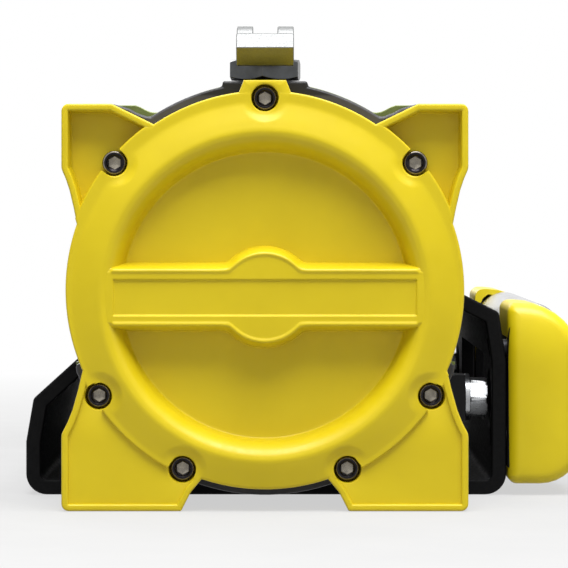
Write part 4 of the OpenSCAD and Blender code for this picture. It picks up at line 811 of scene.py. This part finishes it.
# The head's corners are the node's highest points, and its seat lies 0.9 mm behind the nearest
seat = float(points[np.abs(points[:, 2] - high[2]) < 0.05, 0].min()) - 0.9
bolt_y, bolt_z = high[1] - BOLT_FROM_EDGE, (low[2] + high[2]) / 2
bolts = [hex_bolt(side * bolt_y, bolt_z, seat, high[0], low[0], 5) for side in (1, -1)]
bolts = smooth(mesh_of("side_hex_bolts", bolts), 25)
dress(stand_for(bolts, "side_bolts"), "side_bolts")
print("bolt heads", round(float(high[0]) - seat, 1), "mm high")

# %% [markdown]
# ## Fairlead caps
# Each end of the fairlead hides in a moulded cap. Its outline is drawn with large radii in
# front, and its face rolls back over the top 26 mm. A box with rounded edges would have the
# same radius all round, so here the outline is drawn further and further in, and each ring is
# set back by how near it lies to the rim and to the top. Inside, the hollow follows the
# roller's curve with a gap of 1.2 mm.

# %% Caps
low, high = span("fairlead_caps")
rim_y = np.abs(points_of("fairlead_caps")[:, 1]).min()
ROLLER, ROLLER_GAP_R = np.array([119.2, 68.0]), 14.7
WALL, RIM_ROLL, TOP_ROLL, POINT_GAP = 2.6, (5, 4.5), (26, 6), 4
corners = [(low[0] + 0.3, low[2]), (high[0], low[2]), (high[0], high[2]), (low[0] + 0.3, high[2])]
corner_r = [4.0, 18.0, 26.0, 4.0]


def cap_ring(inset, samples=None):
    """The cap's outline moved inwards, with extra points on its long straight edges."""
    path = rounded(corners, corner_r, inset, 8)
    path = np.concatenate([path, path[:1]])
    if samples is None:
        pieces = np.ceil(np.hypot(*np.diff(path, axis=0).T) / POINT_GAP).astype(int)
        samples = np.concatenate([i + np.arange(n) / n for i, n in enumerate(pieces) if n] + [[len(pieces)]])
    count = np.arange(len(path))
    return np.stack([np.interp(samples, count, path[:, i]) for i in (0, 1)], -1), samples


def set_back(points, inset):
    """How far a ring lies behind the face: an ellipse 5 by 4.5 at the rim, one 26 by 6 at the
    top, and a slow parabola that turns the lower half of the face downwards by 1."""
    near_rim = np.clip(1 - inset / RIM_ROLL[0], 0, 1)
    near_top = np.clip(1 - (high[2] - points[:, 1]) / TOP_ROLL[0], 0, 1)
    below = np.clip((62 - points[:, 1]) / 57, 0, 1)
    return sum(depth * (1 - np.sqrt(1 - near ** 2)) for depth, near in (
        (RIM_ROLL[1], near_rim), (TOP_ROLL[1], near_top))) + below ** 2


def snug(points):
    """Points above the roller's axis and behind it are drawn in to a circle round the axis."""
    away = points - ROLLER
    reach = np.hypot(*away.T)
    shrink = np.where((away[:, 0] < 0) & (away[:, 1] > 0) & (reach > ROLLER_GAP_R), ROLLER_GAP_R / reach, 1)
    return ROLLER + away * shrink[:, None]


first, samples = cap_ring(0)
rings = [(first, rim_y), (first, rim_y + 40)]
for inset in (0, 0.08, 0.3, 0.7, 1.2, 1.8, 2.6, 3.6, RIM_ROLL[0]):
    outline = cap_ring(inset, samples)[0]
    rings.append((outline, high[1] - set_back(outline, inset)))
centre = np.array([[(low[0] + high[0]) / 2, 44.0]])
for share in (0.92, 0.84, 0.76, 0.68, 0.6, 0.5, 0.4, 0.3, 0.2, 0.1, 0):
    drawn_in = centre + (outline - centre) * share
    rings.append((drawn_in, high[1] - set_back(drawn_in, RIM_ROLL[0])))
for share in (0, 0.3, 0.6, 0.8, 1):
    drawn_in = centre + (outline - centre) * share
    rings.append((snug(drawn_in), high[1] - WALL - set_back(drawn_in, RIM_ROLL[0])))
for inset in (3.8, 3.0, WALL):
    outline = cap_ring(inset, samples)[0]
    rings.append((snug(outline), high[1] - WALL - set_back(outline, inset - WALL)))
rings += [(snug(outline), rim_y), rings[0]]
cap = np.array([np.column_stack([p[:, 0], y * np.ones(len(p)), p[:, 1]]) for p, y in rings])
caps = smooth(mesh_of("moulded_fairlead_caps", [cap, cap * [1, -1, 1]]), 35)
dress(stand_for(caps, "fairlead_caps"), "fairlead_caps")
print("caps", len(caps.data.polygons), "faces, rims at", round(float(rim_y), 1))

# %% [markdown]
# ## Machined and pressed parts
# Nothing that leaves a workshop has a knife edge. Each of these nodes is shown by its softened
# copy: a heavy radius on bent plate and castings, a light one on screws, pins and the lever.
# At mid height the gear case and its plate are drawn in, so that they hide behind the cover.
# Their long flat sides are cut first, at the heights where the cover's outline turns. Without
# those cuts a side would run straight through the bore.

# %% Softened nodes
edge_of = {
    "mounting_channel": 0.9, "gear_side_support": 0.8, "motor_side_support": 0.8,
    "ring_gear_housing": 1.1, "adapter_plate": 0.4, "drum": 0.8, "fairlead_brackets": 0.6,
    "clutch_body": 0.3, "clutch_lever": 0.5, "clutch_plunger": 0.25, "lever_pin": 0.25,
    "side_washers": 0.3, "foot_screws": 0.3, "foot_nuts": 0.3, "tie_bolts": 0.4,
    "fairlead_screws": 0.3, "roller_pins": 0.4, "terminal_studs": 0.25, "terminal_nuts": 0.3,
    "motor_bolts": 0.3, "motor_end_bell": 0.8, "motor_housing": 0.5,
    "top_roller": 0.8, "bottom_roller": 0.8, "gear_end_roller": 0.8, "motor_end_roller": 0.8}
CROWDED = ("gear_side_support", "terminal_nuts", "motor_bolts", "foot_nuts")
COVER_EDGE_Z = [0.055, 0.060, 0.075, 0.0906, 0.106, 0.118, 0.124, 0.134]
COVER_EDGE_X = [0.100, 0.0735, 0.0775, 0.0790, 0.0775, 0.0740, 0.0765, 0.100]


def behind_cover(obj):
    """Draw a piece in to the cover's half width, which COVER_EDGE_X gives at COVER_EDGE_Z."""
    bm = bmesh.new()
    bm.from_mesh(obj.data)
    for level in COVER_EDGE_Z:
        geom = bm.verts[:] + bm.edges[:] + bm.faces[:]
        bmesh.ops.bisect_plane(bm, geom=geom, plane_co=(0, 0, level), plane_no=(0, 0, 1))
    bm.to_mesh(obj.data)
    bm.free()
    places = places_in(obj.data)
    limit = np.interp(places[:, 2], COVER_EDGE_Z, COVER_EDGE_X)
    places[:, 0] = np.clip(places[:, 0], -limit, limit)
    obj.data.vertices.foreach_set("co", places.ravel())


for node, width in edge_of.items():
    copy = softened(node, width, clamp=node in CROWDED)
    if node in ("ring_gear_housing", "adapter_plate"):
        behind_cover(copy)
    dress(stand_for(copy, node), node)
print(len(edge_of), "nodes softened")

# %% [markdown]
# The clutch spring sits between the plunger's collar and the roof of the clutch body. It could
# be swept again as a helix, but its solid already has round wire and all its turns, so a welded
# copy stands for it.

# %% Clutch spring
spring = dress(stand_for(softened("clutch_spring", 0), "clutch_spring"), "clutch_spring")
coil = points_of("clutch_spring") / MM
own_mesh(spring)

# %% [markdown]
# ## Studio
# The photograph is a cut-out on white, taken from straight in front of the gear end and a
# little above the middle, with a long lens. The camera stands 1.35 m before the cover. It looks
# level, and the lens is shifted instead of tilted, so that upright edges stay upright.

# %% Camera
lens = bpy.data.cameras.new("camera")
lens.sensor_width, lens.lens = 36, 208.8
lens.shift_x, lens.shift_y = 0.007, -0.139
lens.clip_end = 50
camera = put_in_scene("camera", lens)
camera.location = (0.0062, -1.572, 0.1254)
camera.rotation_euler = (math.pi / 2, 0, 0)
bpy.context.scene.camera = camera
print("camera, a lens of", round(lens.lens), "mm")

# %% [markdown]
# One large soft lamp high above the front does most of the work, as in a product photograph. It
# leaves a soft shade under every rim and lights every slope that faces up. A smaller one in
# front fills the shades, one on the right, one over the motor and one behind light the other
# sides. The world adds an even light, and shows as white to the camera and in reflections.

# %% Lamps and world
def softbox(name, place, at, size, power):
    """A square area lamp at a place, turned towards a point: metres, and watts."""
    lamp = bpy.data.lights.new(name, "AREA")
    lamp.shape, lamp.size, lamp.energy = "SQUARE", size, power
    obj = put_in_scene(name, lamp)
    obj.location = place
    obj.rotation_euler = (Vector(at) - Vector(place)).to_track_quat("-Z", "Y").to_euler()


middle, cover_at = (0.0, 0.0, 0.09), (0.0, -0.2, 0.09)
softbox("key", (0.1, -0.64, 1.5), cover_at, 1.2, 49)
softbox("front", (-0.2, -1.45, 0.85), cover_at, 1.0, 2)
softbox("fill", (1.5, -0.5, 0.5), middle, 1.0, 3)
softbox("top", (0.0, 0.7, 1.5), middle, 1.2, 5)
softbox("back", (-0.6, 1.6, 0.8), middle, 0.9, 9)

world = bpy.data.worlds.new("studio")
bpy.context.scene.world = world
world.use_nodes = True
tree = world.node_tree
tree.nodes.clear()


def seen_white(tree, low, high):
    """A strength that is low for the light on matt surfaces, and high where the eye looks.

    Rays from the camera, reflections and what shows through glass all count as looking.
    """
    path = add(tree, "LightPath").outputs
    eye = add(tree, "Math", {0: path["Is Camera Ray"], 1: path["Is Glossy Ray"]}, operation="MAXIMUM")
    eye = add(tree, "Math", {0: eye.outputs[0], 1: path["Is Transmission Ray"]}, operation="MAXIMUM")
    return add(tree, "MapRange", {"Value": eye.outputs[0], "To Min": low, "To Max": high}).outputs["Result"]


WORLD_LIGHT = 0.15
sky = add(tree, "Background", {"Color": (1, 1, 1, 1), "Strength": seen_white(tree, WORLD_LIGHT, 1.0)})
add(tree, "OutputWorld", {"Surface": sky.outputs["Background"]})
print(len(bpy.data.lights), "lamps and a world")

# %% [markdown]
# The floor is a pale disc that fades into the white around it. It stays matt, and it keeps the
# winch's shadow, because only part of what the camera sees of it is its own white.

# %% Floor
FLOOR_R, FLOOR_DROP = 3000, 0.2
turn = full_turn(5.625)
radius = np.linspace(0, FLOOR_R, 13)[:, None]
disc = np.stack(np.broadcast_arrays(
    radius * np.cos(turn), radius * np.sin(turn), cad_low[2] * MM - FLOOR_DROP), -1)
floor = mesh_of("floor", [disc])
paint = finish_of("pale_studio_floor", ("#9a9a9a", "#a0a0a0"), 0.9, 60, 20, 0.01, Specular_IOR_Level=0.1)
tree = paint.node_tree
away = add(tree, "VectorMath", {0: here(tree)}, operation="LENGTH").outputs["Value"]
fade = add(tree, "MapRange", {"Value": away, "From Min": 0.25, "From Max": 0.9, "To Min": 0.6, "To Max": 1.0})
share = add(tree, "Math", {0: seen_white(tree, 0.0, 1.0), 1: fade.outputs["Result"]}, operation="MULTIPLY")
glow = add(tree, "Emission", {"Color": (1, 1, 1, 1), "Strength": 1.0})
matt = found(tree, "BSDF_PRINCIPLED").outputs["BSDF"]
both = add(tree, "MixShader", {0: share.outputs[0], 1: matt, 2: glow.outputs["Emission"]})
tree.links.new(both.outputs["Shader"], found(tree, "OUTPUT_MATERIAL").inputs["Surface"])
floor.data.materials.append(paint)
print("floor at", round(float(disc[0, 0, 2]), 1))

# %% [markdown]
# ## View transform
# Colours are shown with the Standard view transform.

# %% Colour view
bpy.context.scene.view_settings.view_transform = "Standard"
